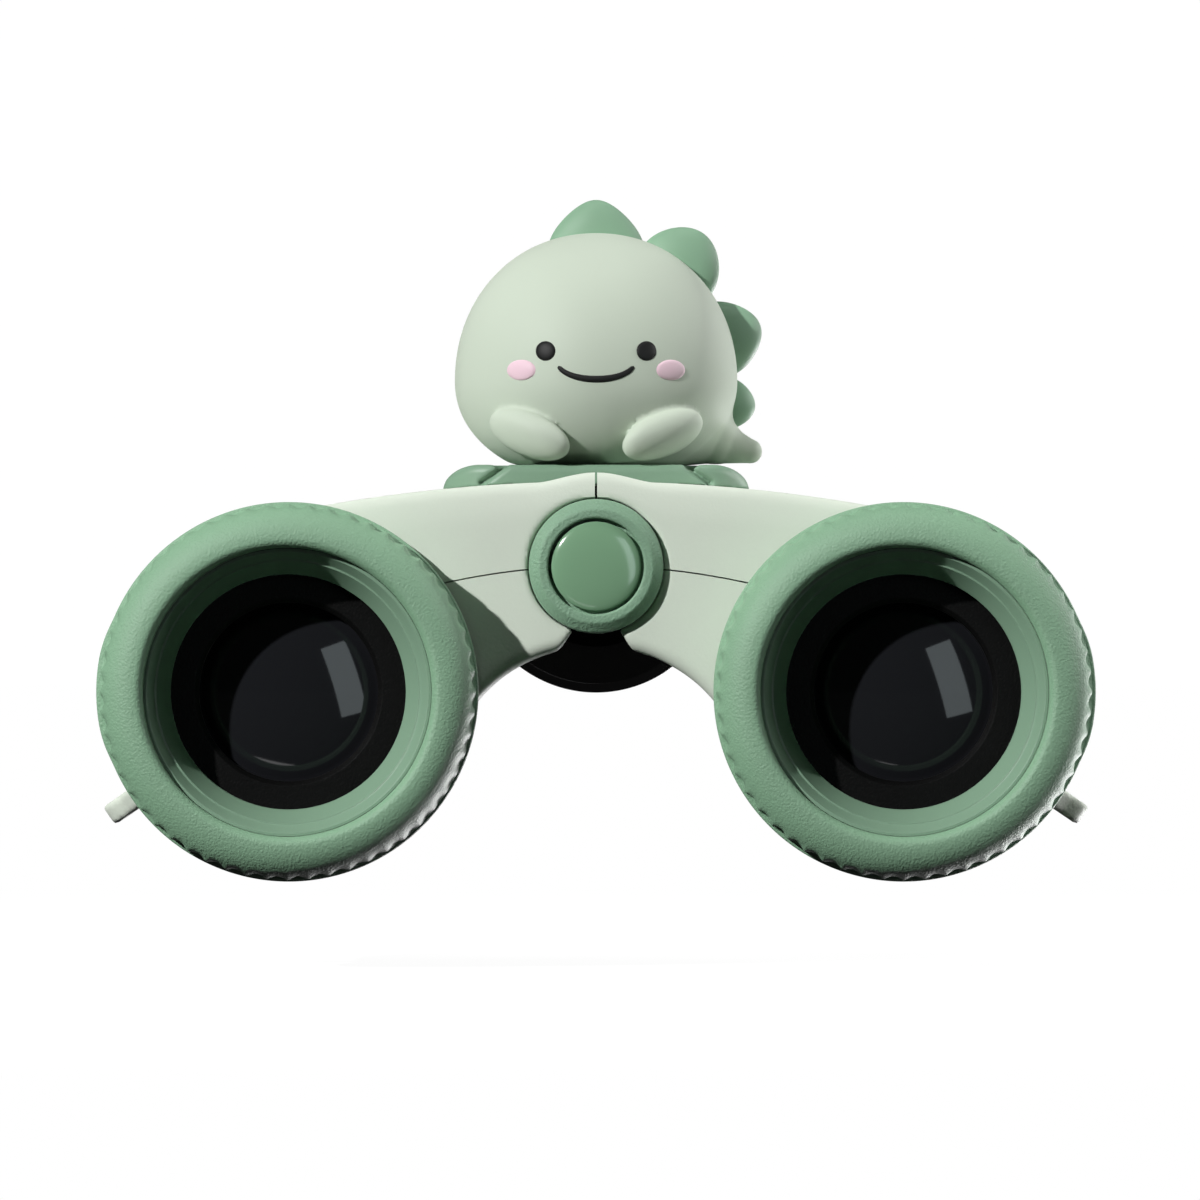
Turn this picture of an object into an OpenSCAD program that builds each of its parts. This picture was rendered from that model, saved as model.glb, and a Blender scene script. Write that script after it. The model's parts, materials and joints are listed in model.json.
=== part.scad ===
// Folding toy binoculars with a small dinosaur figure on the bridge.
// Each half is a two-piece shell that swings on the centre hinge. A focus wheel behind the bridge
// drives a spindle, and the spindle carries both eyepieces back and forth.
// The front of the object faces -Y and it stands on z = 0. Depths named s_ run back from the front edge.

/* [Layout] */
// Outer diameter of a barrel
barrel_d = 39.8; // [38:0.1:42]
// Clear gap between the two barrels with the bridge fully open
barrel_gap = 28.2; // [27:0.1:34]
// Depth of the hinge axis below the tops of the barrels
hinge_sink = 6; // [5.4:0.1:6.4]

/* [Objective ring] */
// How far the ring's rear rim stands out over the barrel
ring_proud = 1.1; // [0.9:0.1:2]
// Length of the rubber ring
ring_l = 12; // [10:0.5:16]
// How far the ring's lip turns in over the end of the objective cell
ring_lip_lap = 1.6; // [1.5:0.1:2]
// Thickness of the lip that turns in over the objective cell
ring_lip_t = 2.4; // [2:0.1:3]
// Set-in of the crest of the rounded front edge from the rear rim
ring_crest_in = 2.8; // [2:0.1:3.4]
// Depth of the rounded front edge on its outer side
ring_round_l = 4.2; // [3:0.1:5]
// Number of flutes round the ring
flute_count = 56; // [40:1:64]
// Depth of one flute
flute_depth = 0.34; // [0.2:0.02:0.5]
// How far the flutes stand inside the rear rim
flute_inset = 0.28; // [0.1:0.02:0.5]
// Width of the smooth rear rim
rim_w = 2; // [1:0.1:3]
// Height of the thumb swell on the outer side of the rim
swell_h = 0.3; // [0.1:0.05:0.6]

/* [Objective] */
// Distance from the ring's front edge to the black lens retainer
recess_depth = 9; // [8:0.1:10]
// Width of the bezel's first step
bezel_step_w = 1.2; // [0.8:0.1:1.6]
// Width of the bezel's second step
bezel_funnel_w = 1.45; // [1:0.05:2.2]
// Set-back of the bezel's front edge from the ring's front edge
bezel_setback = 1.9; // [1.5:0.1:2.2]
// Depth of the bezel's first step
bezel_step_l = 1.6; // [1:0.1:2.4]
// Depth of the bezel's second step
bezel_funnel_l = 3.4; // [2:0.1:4]
// Width of the retainer round the lens flange
retainer_w = 5; // [4.4:0.1:5.4]
// How far the retainer laps over the lens flange
lens_lap = 1.1; // [0.8:0.1:1.6]
// Thickness of the lens flange
lens_flange_t = 1.8; // [1.2:0.1:2.4]
// Height of the lens dome in front of its flange
lens_dome_h = 2; // [1:0.1:2.1]
// Thickness of the retainer in front of the lens flange
retainer_t = 2.2; // [2.2:0.1:3]

/* [Barrel] */
// Step from the barrel down to the objective cell under the rubber ring
cell_step = 2.4; // [2:0.1:2.6]
// Length of the objective cell held inside the barrel
cell_engage = 4; // [3:0.5:6]
// Wall of the objective cell
cell_wall = 1.5; // [1.2:0.1:1.8]
// How far the barrel draws in at its rear end
barrel_taper = 3.4; // [2:0.1:4.4]
// Length of the rounded rear end of the barrel
barrel_round_l = 11; // [8:0.5:12]
// Length of the collar that holds the optical tube at the rear
collar_l = 6; // [4:0.5:8]
// Gap between the optical tube and the barrel's bore
tube_gap = 2; // [1.5:0.1:2.3]
// Wall of the optical tube
tube_wall = 1.9; // [1.4:0.1:2.4]

/* [Bridge arms] */
// Depth of the bridge arms from front to back
arm_depth = 30; // [29:0.5:34]
// Set-back of the arms' front face behind the rubber ring
arm_setback = 0.5; // [0.2:0.1:2]
// Height of the arms' top edge above the hinge axis
bridge_top = 9.4; // [9.2:0.1:9.8]
// Depth of the arch's crown below the hinge axis
arch_drop = 8.9; // [8.4:0.1:9.4]
// Wall of the hollow arms
shell_wall = 2; // [1.6:0.1:2.4]
// Radius of the arc that parts the upper and lower shells
parting_r = 77; // [70:1:90]
// Gap between the shells along the parting line
parting_gap = 0.2; // [0.1:0.05:0.3]
// Gap between the two arms at the top of the hinge
seam_gap = 0.25; // [0.1:0.05:0.4]
// Wall of the round boss at the front of the hinge
boss_wall = 3.2; // [2.9:0.1:3.7]
// Depth of the front boss
boss_l = 4; // [3.5:0.1:4.4]
// Half angle of the fold notch under the hinge
notch_angle = 34; // [30:1:38]
// Depth of the notch's apex below the hinge axis
notch_drop = 3.3; // [3:0.1:3.6]

/* [Strap lug] */
// Angle of the strap lug below the horizontal
lug_angle = 34.5; // [25:0.5:45]
// How far the lug stands out of the barrel
lug_out = 4.6; // [3.3:0.1:5.5]
// Thickness of the lug
lug_t = 2.3; // [1.8:0.1:3]
// Width of the lug's root along the barrel
lug_root_w = 10; // [7:0.5:12]
// Diameter of the strap hole
lug_hole_d = 2.5; // [2:0.1:2.6]
// Wall round the strap hole
lug_hole_wall = 0.85; // [0.7:0.05:1]
// Set-back of the lug's centre behind the arms' front face
lug_back = 8.5; // [7:0.5:20]

/* [Hinge] */
// How far the textured hinge cap laps over the hinge pocket
cap_lap = 0.35; // [0.2:0.05:1]
// How far the cap stands out of the arms' front face
cap_h = 3; // [2.4:0.1:3.4]
// Width of the cap's textured ring round the glossy badge
cap_ring_w = 2.45; // [2:0.05:3]
// Thickness of the badge at its edge
badge_t = 1.2; // [0.8:0.1:1.3]
// Diameter of the hinge axle
axle_d = 5; // [4:0.1:5.6]
// Diameter of the clear pocket round the axle
pocket_d = 14.2; // [14:0.1:14.4]
// Gap between the hinge knuckles and the pocket
knuckle_gap = 0.9; // [0.7:0.1:1.3]
// Length of one knuckle
knuckle_l = 5; // [4:0.1:5.2]
// Length of the frame's sleeve on the axle
sleeve_l = 5.5; // [4:0.1:5.8]
// Thickness of the hinge washers
washer_t = 0.5; // [0.3:0.1:0.6]
// Thickness of the arms' front wall round the hinge
front_wall = 2.5; // [2:0.1:2.7]

/* [Focus drive] */
// Diameter of the focus wheel
wheel_d = 28; // [26:0.5:30]
// Width of the focus wheel
wheel_w = 9; // [7:0.5:11]
// Number of grip ribs on the wheel
wheel_ribs = 40; // [24:1:48]
// Travel of the eyepieces from one end to the other
focus_travel = 5; // [4:0.5:5.5]
// Diameter of the focus spindle
spindle_d = 4; // [3.4:0.1:4.6]
// Thickness of a focus arm at the spindle
focus_arm_t = 2.4; // [1.8:0.1:3]
// Thickness of the frame's rear bearing plate
bearing_t = 3; // [2.4:0.1:4]
// Diameter of the wheel's hub in the bearing plate
hub_d = 9; // [8:0.1:10]

/* [Eyepiece] */
// Wall of the eyepiece tube
eyepiece_wall = 2.4; // [1.8:0.1:2.6]
// Length of the eyepiece tube inside the barrel
eyepiece_engage = 15; // [10:0.5:20]
// Length of the eyepiece tube behind the focus arms
eyepiece_tail = 10; // [9:0.5:12]
// Length of the rubber eyecup
eyecup_l = 23; // [20:0.5:28]
// How far the eyecup's lip flares out over the eyepiece tube
eyecup_flare = 4.5; // [3.5:0.1:6]
// Thickness of the eye lens at its edge
eye_lens_t = 3; // [2:0.1:3.4]
// Length of the ring that holds the eye lens
eye_ring_l = 2.2; // [1.6:0.1:2.6]

/* [Saddle] */
// Width of the saddle under the figure
saddle_w = 34.6; // [33:0.1:36]
// How far the saddle runs back past the bridge arms
saddle_tail = 1.8; // [0.5:0.1:2.2]
// Height of the saddle's top above the hinge axis
saddle_top = 11.3; // [11:0.1:12.5]
// Width of the rounded shoulder at each end of the saddle
shoulder_w = 4.4; // [3:0.1:5.5]
// Corner radius of the saddle seen from above
saddle_corner_r = 7; // [5:0.5:9]
// Width of the creases on the saddle's front
crease_w = 0.9; // [0.6:0.1:1.4]

/* [Dinosaur] */
// Width of the figure's body
dino_w = 31.6; // [28:0.1:34]
// Height of the figure's body
dino_h = 26; // [23:0.5:30]
// Height of the body's widest line above the saddle
dino_belly_h = 9.4; // [8:0.1:11]
// Fullness of the body's egg, where 2 is an ellipse
dino_fullness = 2.2; // [2:0.05:2.6]
// Radius of the flat base of the body
dino_base_r = 9.6; // [8.6:0.1:10.4]
// Width of the widest crest plate
plate_w = 10.1; // [8:0.1:11]
// Height of the tallest crest plate over the body
plate_h = 4.4; // [3:0.1:6]
// Thickness of the crest plates
plate_t = 3.6; // [2.6:0.1:4.4]
// Set-back of the crest and tail behind the body's axis
crest_back = 2; // [0:0.5:4]
// Length of a paw
paw_l = 9.6; // [8:0.1:11]
// Thickness of a paw
paw_d = 4.4; // [3.6:0.1:5]
// Thickness of the raised face inlays
inlay_t = 0.25; // [0.15:0.05:0.4]

/* [Hidden] */

// Facets of round shapes, and of the bridge's wide arcs
$fn = 64;
wide_fn = 720;
left = -1;
right = 1;

pale_green = [0.78, 0.82, 0.76];
sage_green = [0.50, 0.62, 0.53];
deep_green = [0.40, 0.56, 0.43];
black = [0.08, 0.08, 0.08];
steel = [0.70, 0.71, 0.72];
smoke = [0.10, 0.11, 0.13];
white_nylon = [0.90, 0.90, 0.87];
blush = [0.92, 0.80, 0.85];

// Shared clearances: an overrun for cuts, a slip fit, a running fit, end play and free room
overrun = 1;
slip = 0.05;
run_fit = 0.06;
play = 0.1;
free_gap = 0.4;

// Places of the main axes
barrel_r = barrel_d / 2;
barrel_x = barrel_r + barrel_gap / 2;
ring_r = barrel_r + ring_proud;
axis_z = ring_r;
hinge_rise = barrel_r - hinge_sink;
hinge_z = axis_z + hinge_rise;

// Radii of what sits on and in the barrel
cell_r = barrel_r - cell_step;
mouth_r = cell_r - ring_lip_lap;
bore_r = cell_r - cell_wall;
bezel_r = min(bore_r, mouth_r) - slip;
lens_r = bore_r - retainer_w;
lens_clear_r = lens_r - lens_lap;
tube_r = bore_r - tube_gap;
eyepiece_r = tube_r - tube_wall - play;
eyepiece_bore_r = eyepiece_r - eyepiece_wall;

// Depth stations of the barrel's front, from the ring's front edge
s_cell = ring_lip_t;
s_cell_end = ring_l + cell_engage;
s_retainer = recess_depth;
s_lens = s_retainer + retainer_t;
s_tube = s_lens + lens_flange_t;
tube_flange_l = 2;
flute_lap = 0.15;

// Depth stations of the hinge stack
s_arm = ring_l + arm_setback;
s_arm_end = s_arm + arm_depth;
s_stack = s_arm + front_wall;
stack_step = washer_t + play;
s_left_knuckle = s_stack + play + stack_step;
s_sleeve = s_left_knuckle + knuckle_l + play + stack_step;
s_right_knuckle = s_sleeve + sleeve_l + play + stack_step;
s_axle_head = s_right_knuckle + knuckle_l + play + stack_step;
axle_head_t = 1.5;
s_axle_end = s_axle_head + axle_head_t;
washer_stations = [
    s_stack + play, s_left_knuckle + knuckle_l + play,
    s_sleeve + sleeve_l + play, s_right_knuckle + knuckle_l + play
];

// Depth stations of the focus drive and the eyepieces
bearing_gap = 0.6;
s_bearing = s_arm_end + bearing_gap;
s_wheel = s_bearing + bearing_t + free_gap;
s_wheel_end = s_wheel + wheel_w;
clip_t = 0.8;
s_clip = s_bearing - play - clip_t;
hub_land = 0.8;
s_hub = s_clip - hub_land;
shoulder_t = 1.2;
s_shoulder = s_wheel_end + focus_travel / 2 + free_gap;
s_focus_arm = s_shoulder + shoulder_t + play;
s_focus_arm_mid = s_focus_arm + focus_arm_t + play;
s_focus_arm_end = s_focus_arm_mid + focus_arm_t;
nut_l = 2.8;
s_nut = s_focus_arm_end + play;
s_spindle = s_axle_end + focus_travel / 2 + free_gap;
barrel_tail_gap = 1.5;
s_barrel_end = s_focus_arm - focus_travel / 2 - barrel_tail_gap;
s_eyepiece = s_barrel_end - eyepiece_engage;
s_eyepiece_end = s_focus_arm_end + eyepiece_tail;
cup_gap = 1.3;
s_eyecup = s_focus_arm_end + cup_gap;
total_l = s_eyecup + eyecup_l;
front_y = -total_l / 2;

// Arcs of the arms: each is tangent to a circle a little inside the barrel, so it runs into the barrel wall
top_sink = 0.4;
arch_sink = 1;
top_blend_r = barrel_r - top_sink;
arch_blend_r = barrel_r - arch_sink;
top_lift = bridge_top + hinge_rise;
arch_lift = hinge_rise - arch_drop;
top_arc_r = (pow(barrel_x, 2) + pow(top_lift, 2) - pow(top_blend_r, 2)) / (2 * (top_lift - top_blend_r));
arch_r = (pow(barrel_x, 2) + pow(arch_lift, 2) - pow(arch_blend_r, 2)) / (2 * (arch_blend_r + arch_lift));
top_arc_z = bridge_top - top_arc_r;
arch_z = -arch_drop - arch_r;

// Sizes of the hinge's inner pieces
axle_r = axle_d / 2;
pocket_r = pocket_d / 2;
knuckle_r = pocket_r - knuckle_gap;
boss_r = pocket_r + boss_wall;
cap_r = pocket_r + cap_lap;
badge_r = cap_r - cap_ring_w;
frame_under = 0.6;
frame_floor = knuckle_r + frame_under;
recess_floor = frame_floor - free_gap;
frame_half_w = 9;
recess_half_w = frame_half_w + free_gap;
s_frame = s_arm + boss_l + free_gap + free_gap;
s_recess = s_frame - free_gap;
s_saddle = s_frame;
saddle_depth = s_arm_end + saddle_tail - s_saddle;
stem_half_w = 2.3;
web_low = 0.8;
web_high = 4.2;
web_bite = 1.4;
screw_r = 1;
screw_head_r = 2;
screw_head_h = 1.5;
block_wall = 2;
block_x = recess_half_w + block_wall;
screw_boss_r = 2.8;
screw_x = block_x + screw_boss_r + free_gap;
screw_end_share = 0.22;
screw_stations = [s_arm + arm_depth * screw_end_share, s_arm_end - arm_depth * screw_end_share];
screw_seat_drop = 6.5;
screw_reach = 4;

// Places of the figure
s_dino = s_saddle + saddle_depth / 2;
dino_r = dino_w / 2;
dino_z = hinge_z + saddle_top;
dino_crown_h = dino_h - dino_belly_h;
dino_under_h = dino_belly_h / pow(1 - pow(dino_base_r / dino_r, dino_fullness), 1 / dino_fullness);
figure_screw_x = 6;

// Small sizes of the objective's pieces
bezel_edge_w = 0.35;
bezel_ledge = 0.2;
retainer_chamfer = 0.5;

// Small sizes of the hinge's pieces
axle_tap_l = 7;
cap_bevel = 1;
cap_floor_t = 0.9;
hinge_screw_reach = 6;
badge_dome_h = 0.5;

// Small sizes of the focus drive
wheel_r = wheel_d / 2;
wheel_round_r = 0.9;
wheel_rib_h = 0.5;
wheel_core_lap = 0.3;
wheel_smooth_w = 1.6;
wheel_rim_wall = 3;
wheel_boss_wall = 1;
wheel_hollow_l = 5;
clip_proud = 1;
groove_r = hub_d / 2 - clip_t;
spindle_lip = 1.6;
nut_wall = 2;
focus_eye_r = 4.6;
clamp_wall = 2.4;
bar_setback = 0.2;

// Small sizes of the eyepieces
seat_ledge = 0.8;
s_eye_seat = s_eyepiece_end - eye_lens_t - eye_ring_l;
eye_rim_r = eyepiece_bore_r - slip;
eye_lens_rim_w = 1;
eye_ring_w = 1.2;
eyecup_lip_w = 2.2;
eyecup_wall = 1.6;

// Small sizes of the saddle
shoulder_h = 3.4;
crease_depth = 0.6;

// Small sizes of the figure, its heights from the saddle's top
tail_root_r = 5;
tail_tip_r = 1.5;
tail_lift = 1.9;
paw_rise = 3.6;
paw_proud = 0.5;
plate_sink = 3;
eye_x = 5.6;
eye_z = 12.6;
eye_r = 1.1;
smile_z = 11;
smile_half_w = 3.9;
smile_dip = 2;
smile_t = 0.6;
cheek_x = 8.3;
cheek_z = 10.5;
cheek_w = 3.2;
cheek_h = 2.3;

// Crest plates from the crown to the tail: angle, and shares of the widest and the tallest
plate_angles = [0, 36, 70, 98];
plate_w_shares = [1, 0.97, 0.86, 0.6];
plate_h_shares = [0.86, 1, 0.9, 0.5];

// Points along an ellipse from angle a0 to a1
function arc_points(cx, cy, rx, ry, a0, a1, n) =
    [for (i = [0:n]) let (a = a0 + (a1 - a0) * i / n) [cx + rx * cos(a), cy + ry * sin(a)]];

// Points of a ribbed outline: one crest and one root for each rib
function ribbed_points(crest, root, count) =
    [for (i = [0:2 * count - 1]) let (r = i % 2 == 0 ? crest : root, a = 180 * i / count)
        [r * cos(a), r * sin(a)]];

// Rectangle with round corners, from its half width and half depth
function rounded_corners(half_w, half_d, r) = concat(
    arc_points(half_w - r, half_d - r, r, r, 0, 90, 8),
    arc_points(r - half_w, half_d - r, r, r, 90, 180, 8),
    arc_points(r - half_w, r - half_d, r, r, 180, 270, 8),
    arc_points(half_w - r, r - half_d, r, r, 270, 360, 8)
);

// Points along a quarter of the figure's egg from angle a0 to a1, with half height h
function egg_points(r, z, h, a0, a1, n) =
    let (bend = 2 / dino_fullness)
    [for (i = [0:n]) let (a = a0 + (a1 - a0) * i / n)
        [r * pow(cos(a), bend), z + h * sign(a) * pow(abs(sin(a)), bend)]];

// Radius of the figure's body at a height over the saddle
function dino_radius(h) =
    let (half_h = h < dino_belly_h ? dino_under_h : dino_crown_h)
    dino_r * pow(1 - pow(abs(h - dino_belly_h) / half_h, dino_fullness), 1 / dino_fullness);

// Distance from the belly centre to the body's outline, at an angle from the crown
function dino_radius_at(angle) =
    let (
        half_h = angle > 90 ? dino_under_h : dino_crown_h,
        across = pow(sin(angle) / dino_r, dino_fullness),
        along = pow(abs(cos(angle)) / half_h, dino_fullness)
    )
    pow(across + along, -1 / dino_fullness);

// Mirrors the right-hand piece for the left side
module on_side(side) {
    if (side == left) mirror([1, 0, 0]) children();
    else children();
}

module at_barrel() {
    translate([barrel_x, 0, axis_z]) children();
}

module at_hinge() {
    translate([0, 0, hinge_z]) children();
}

// Solid of revolution about a front-to-back axis, from [radius, depth] points
module turned(points) {
    translate([0, front_y, 0]) rotate([-90, 0, 0]) rotate_extrude() polygon(points);
}

module rod(s0, s1, r) {
    translate([0, front_y + s0, 0]) rotate([-90, 0, 0]) cylinder(h = s1 - s0, r = r);
}

// Flat outline in x and z, carried from depth s0 to s1
module plate(s0, s1) {
    translate([0, front_y + s1, 0]) rotate([90, 0, 0]) linear_extrude(s1 - s0) children();
}

module block(x0, x1, s0, s1, z0, z1) {
    translate([x0, front_y + s0, z0]) cube([x1 - x0, s1 - s0, z1 - z0]);
}

// The arm between the hinge and the barrel, drawn about the hinge axis
module arm_slab(s0, s1, inset) {
    reach = top_arc_r + overrun;
    span = top_arc_r - top_blend_r;
    tip_x = barrel_x * reach / span;
    tip_z = top_arc_z - (hinge_rise + top_arc_z) * reach / span;
    difference() {
        intersection() {
            translate([0, 0, top_arc_z]) rod(s0, s1, top_arc_r - inset, $fn = wide_fn);
            plate(s0, s1) polygon([
                [seam_gap / 2, arch_z], [barrel_x, -hinge_rise], [tip_x, tip_z],
                [tip_x, bridge_top + overrun], [seam_gap / 2, bridge_top + overrun]
            ]);
        }
        translate([0, 0, arch_z]) rod(s0 - overrun, s1 + overrun, arch_r + inset);
    }
}

// Front boss of the hinge on one side of the seam
module hinge_boss() {
    side = boss_r + overrun;
    intersection() {
        rod(s_arm, s_arm + boss_l, boss_r);
        block(seam_gap / 2, side, s_arm - overrun, s_arm_end, -side, side);
    }
}

module strap_lug() {
    ear_r = lug_hole_d / 2 + lug_hole_wall;
    hole_x = barrel_r + lug_out - ear_r;
    s_lug = s_arm + lug_back;
    at_barrel() rotate([0, lug_angle, 0]) translate([0, front_y + s_lug, -lug_t / 2]) {
        difference() {
            linear_extrude(lug_t) {
                polygon([
                    [barrel_r - overrun, -lug_root_w / 2], [barrel_r, -lug_root_w / 2], [hole_x, -ear_r],
                    [hole_x, ear_r], [barrel_r, lug_root_w / 2], [barrel_r - overrun, lug_root_w / 2]
                ]);
                translate([hole_x, 0]) circle(ear_r);
            }
            translate([hole_x, 0, -overrun]) cylinder(h = lug_t + 2 * overrun, d = lug_hole_d);
        }
    }
}

// Outside of one barrel, with its rounded rear end
module barrel_blank() {
    rear_r = barrel_r - barrel_taper;
    at_barrel() turned(concat(
        [[0, ring_l], [barrel_r, ring_l]],
        arc_points(rear_r, s_barrel_end - barrel_round_l, barrel_r - rear_r, barrel_round_l, 0, 90, 10),
        [[0, s_barrel_end]]
    ));
}

// Inside of one barrel: the seat of the objective cell, the bore, and the collar for the optical tube
module barrel_bore() {
    s_collar = s_barrel_end - collar_l;
    at_barrel() turned([
        [0, ring_l - overrun], [cell_r + slip, ring_l - overrun], [cell_r + slip, s_cell_end],
        [bore_r, s_cell_end], [bore_r, s_collar], [tube_r + slip, s_collar],
        [tube_r + slip, s_barrel_end + overrun], [0, s_barrel_end + overrun]
    ]);
}

module screw_column(r, z0, z1) {
    for (s = screw_stations) translate([screw_x, front_y + s, z0]) cylinder(h = z1 - z0, r = r);
}

// Hollow of the arm, with columns left standing for the screws
module arm_cavity() {
    at_hinge() difference() {
        intersection() {
            arm_slab(s_arm + shell_wall, s_arm_end - shell_wall, shell_wall);
            block(block_x, barrel_x, s_arm, s_arm_end, arch_z, bridge_top);
        }
        screw_column(screw_boss_r, arch_z, bridge_top);
    }
}

// Fold notch under the hinge, clear of the other arm when both are folded
module fold_notch() {
    fall = hinge_rise + arch_drop;
    plate(s_arm - overrun, s_arm_end + overrun) polygon([
        [0, -notch_drop], [fall * tan(notch_angle), -notch_drop - fall], [0, -notch_drop - fall]
    ]);
}

// One complete half of the housing before it is parted into shells
module half_body() {
    difference() {
        union() {
            barrel_blank();
            at_hinge() arm_slab(s_arm, s_arm_end, 0);
            at_hinge() hinge_boss();
        }
        barrel_bore();
        arm_cavity();
        at_hinge() rod(s_arm - overrun, s_arm_end + overrun, pocket_r);
        at_hinge() fold_notch();
        at_hinge() block(0, recess_half_w, s_recess, s_arm_end + overrun, recess_floor, boss_r + overrun);
    }
}

module parting_drum(r) {
    at_hinge() translate([0, 0, -parting_r]) rod(0, s_barrel_end + overrun, r, $fn = wide_fn);
}

// Hinge knuckle with the web that joins it to the upper shell
module knuckle(s0) {
    at_hinge() difference() {
        union() {
            rod(s0, s0 + knuckle_l, knuckle_r);
            block(knuckle_r - web_bite, pocket_r + web_bite, s0, s0 + knuckle_l, web_low, web_high);
        }
        rod(s0 - overrun, s0 + knuckle_l + overrun, axle_r + run_fit);
    }
}

module upper_shell(side) {
    color(pale_green) on_side(side) {
        difference() {
            half_body();
            parting_drum(parting_r + parting_gap / 2);
            at_hinge() screw_column(screw_r + slip, -screw_seat_drop, screw_reach + free_gap);
        }
        knuckle(side == left ? s_left_knuckle : s_right_knuckle);
    }
}

module lower_shell(side) {
    color(pale_green) on_side(side) {
        difference() {
            union() {
                intersection() {
                    half_body();
                    parting_drum(parting_r - parting_gap / 2);
                }
                strap_lug();
            }
            at_hinge() screw_column(screw_r + play, -screw_seat_drop - overrun, overrun);
            at_hinge() screw_column(screw_head_r + play, arch_z, -screw_seat_drop);
            barrel_bore();
        }
    }
}

module objective_cell(side) {
    color(pale_green) on_side(side) at_barrel() difference() {
        rod(s_cell, s_cell_end, cell_r);
        rod(s_cell - overrun, s_cell_end + overrun, bore_r);
    }
}

module shell_screws(side) {
    color(steel) on_side(side) at_hinge() {
        screw_column(screw_r, -screw_seat_drop - screw_head_h / 2, screw_reach);
        screw_column(screw_head_r, -screw_seat_drop - screw_head_h, -screw_seat_drop);
    }
}

// Rubber ring: rounded lip, fluted grip and a smooth rear rim with a thumb swell on the outer side
module objective_ring(side) {
    crest_r = ring_r - ring_crest_in;
    flute_crest_r = ring_r - flute_inset;
    flute_root_r = flute_crest_r - flute_depth;
    core_r = flute_root_r - flute_lap;
    swell_r = crest_r;
    color(sage_green) on_side(side) at_barrel() difference() {
        union() {
            turned(concat(
                [[0, ring_l], [core_r, ring_l]],
                arc_points(crest_r, ring_round_l, core_r - crest_r, -ring_round_l, 0, 90, 8),
                [[0, 0]]
            ));
            plate(ring_round_l - flute_lap, ring_l)
                polygon(ribbed_points(flute_crest_r, flute_root_r, flute_count));
            rod(ring_l - rim_w, ring_l, ring_r);
            translate([ring_r + swell_h - swell_r, 0, 0]) rod(ring_l - rim_w, ring_l, swell_r);
        }
        turned(concat(
            [[0, -overrun], [crest_r, -overrun]],
            arc_points(crest_r, ring_lip_t, mouth_r - crest_r, -ring_lip_t, 90, 0, 6),
            [[cell_r, ring_lip_t], [cell_r, ring_l + overrun], [0, ring_l + overrun]]
        ));
    }
}

// Stepped funnel between the rubber lip and the lens retainer
module bezel(side) {
    step_r = bezel_r - bezel_step_w;
    inner_r = step_r - bezel_ledge - bezel_funnel_w;
    s_step = bezel_setback + bezel_step_l;
    color(sage_green) on_side(side) at_barrel() turned([
        [bezel_r, bezel_setback], [bezel_r - bezel_edge_w, bezel_setback], [step_r, s_step],
        [step_r - bezel_ledge, s_step], [inner_r, s_step + bezel_funnel_l],
        [inner_r, s_retainer], [bezel_r, s_retainer]
    ]);
}

module lens_retainer(side) {
    color(black) on_side(side) at_barrel() turned([
        [lens_clear_r + retainer_chamfer, s_retainer], [bore_r - slip, s_retainer], [bore_r - slip, s_tube],
        [lens_r + slip, s_tube], [lens_r + slip, s_lens], [lens_clear_r, s_lens],
        [lens_clear_r, s_retainer + retainer_chamfer]
    ]);
}

// Plano-convex plastic lens with a flat flange
module objective_lens(side) {
    base_r = lens_clear_r - slip;
    dome_r = (pow(base_r, 2) + pow(lens_dome_h, 2)) / (2 * lens_dome_h);
    half_angle = asin(base_r / dome_r);
    s_centre = s_lens - lens_dome_h + dome_r;
    color(smoke) on_side(side) at_barrel() turned(concat(
        [[0, s_tube], [lens_r, s_tube], [lens_r, s_lens]],
        arc_points(0, s_centre, dome_r, dome_r, half_angle - 90, -90, 12)
    ));
}

// Black tube inside the barrel: seats the lens in front and guides the eyepiece behind
module optical_tube(side) {
    color(black) on_side(side) at_barrel() turned([
        [lens_clear_r, s_tube], [bore_r - slip, s_tube], [bore_r - slip, s_tube + tube_flange_l],
        [tube_r, s_tube + tube_flange_l], [tube_r, s_barrel_end], [eyepiece_r + play, s_barrel_end],
        [eyepiece_r + play, s_tube + tube_flange_l], [lens_clear_r, s_tube + tube_flange_l]
    ]);
}

module eyepiece_tube(side) {
    color(black) on_side(side) at_barrel() turned([
        [eyepiece_bore_r - seat_ledge, s_eyepiece], [eyepiece_r, s_eyepiece], [eyepiece_r, s_eyepiece_end],
        [eyepiece_bore_r, s_eyepiece_end], [eyepiece_bore_r, s_eye_seat],
        [eyepiece_bore_r - seat_ledge, s_eye_seat]
    ]);
}

// Concave eye lens: hollow towards the eye, flat towards the barrel
module eye_lens(side) {
    hollow_share = 0.55;
    s_back = s_eye_seat + eye_lens_t;
    color(smoke) on_side(side) at_barrel() turned(concat(
        [[0, s_eye_seat], [eye_rim_r, s_eye_seat], [eye_rim_r, s_back]],
        arc_points(0, s_back, eye_rim_r - eye_lens_rim_w, -eye_lens_t * hollow_share, 0, 90, 10)
    ));
}

module eye_lens_ring(side) {
    color(black) on_side(side) at_barrel() turned([
        [eye_rim_r - eye_ring_w, s_eyepiece_end - eye_ring_l], [eye_rim_r, s_eyepiece_end - eye_ring_l],
        [eye_rim_r, s_eyepiece_end], [eye_rim_r - eye_ring_w / 2, s_eyepiece_end]
    ]);
}

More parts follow.
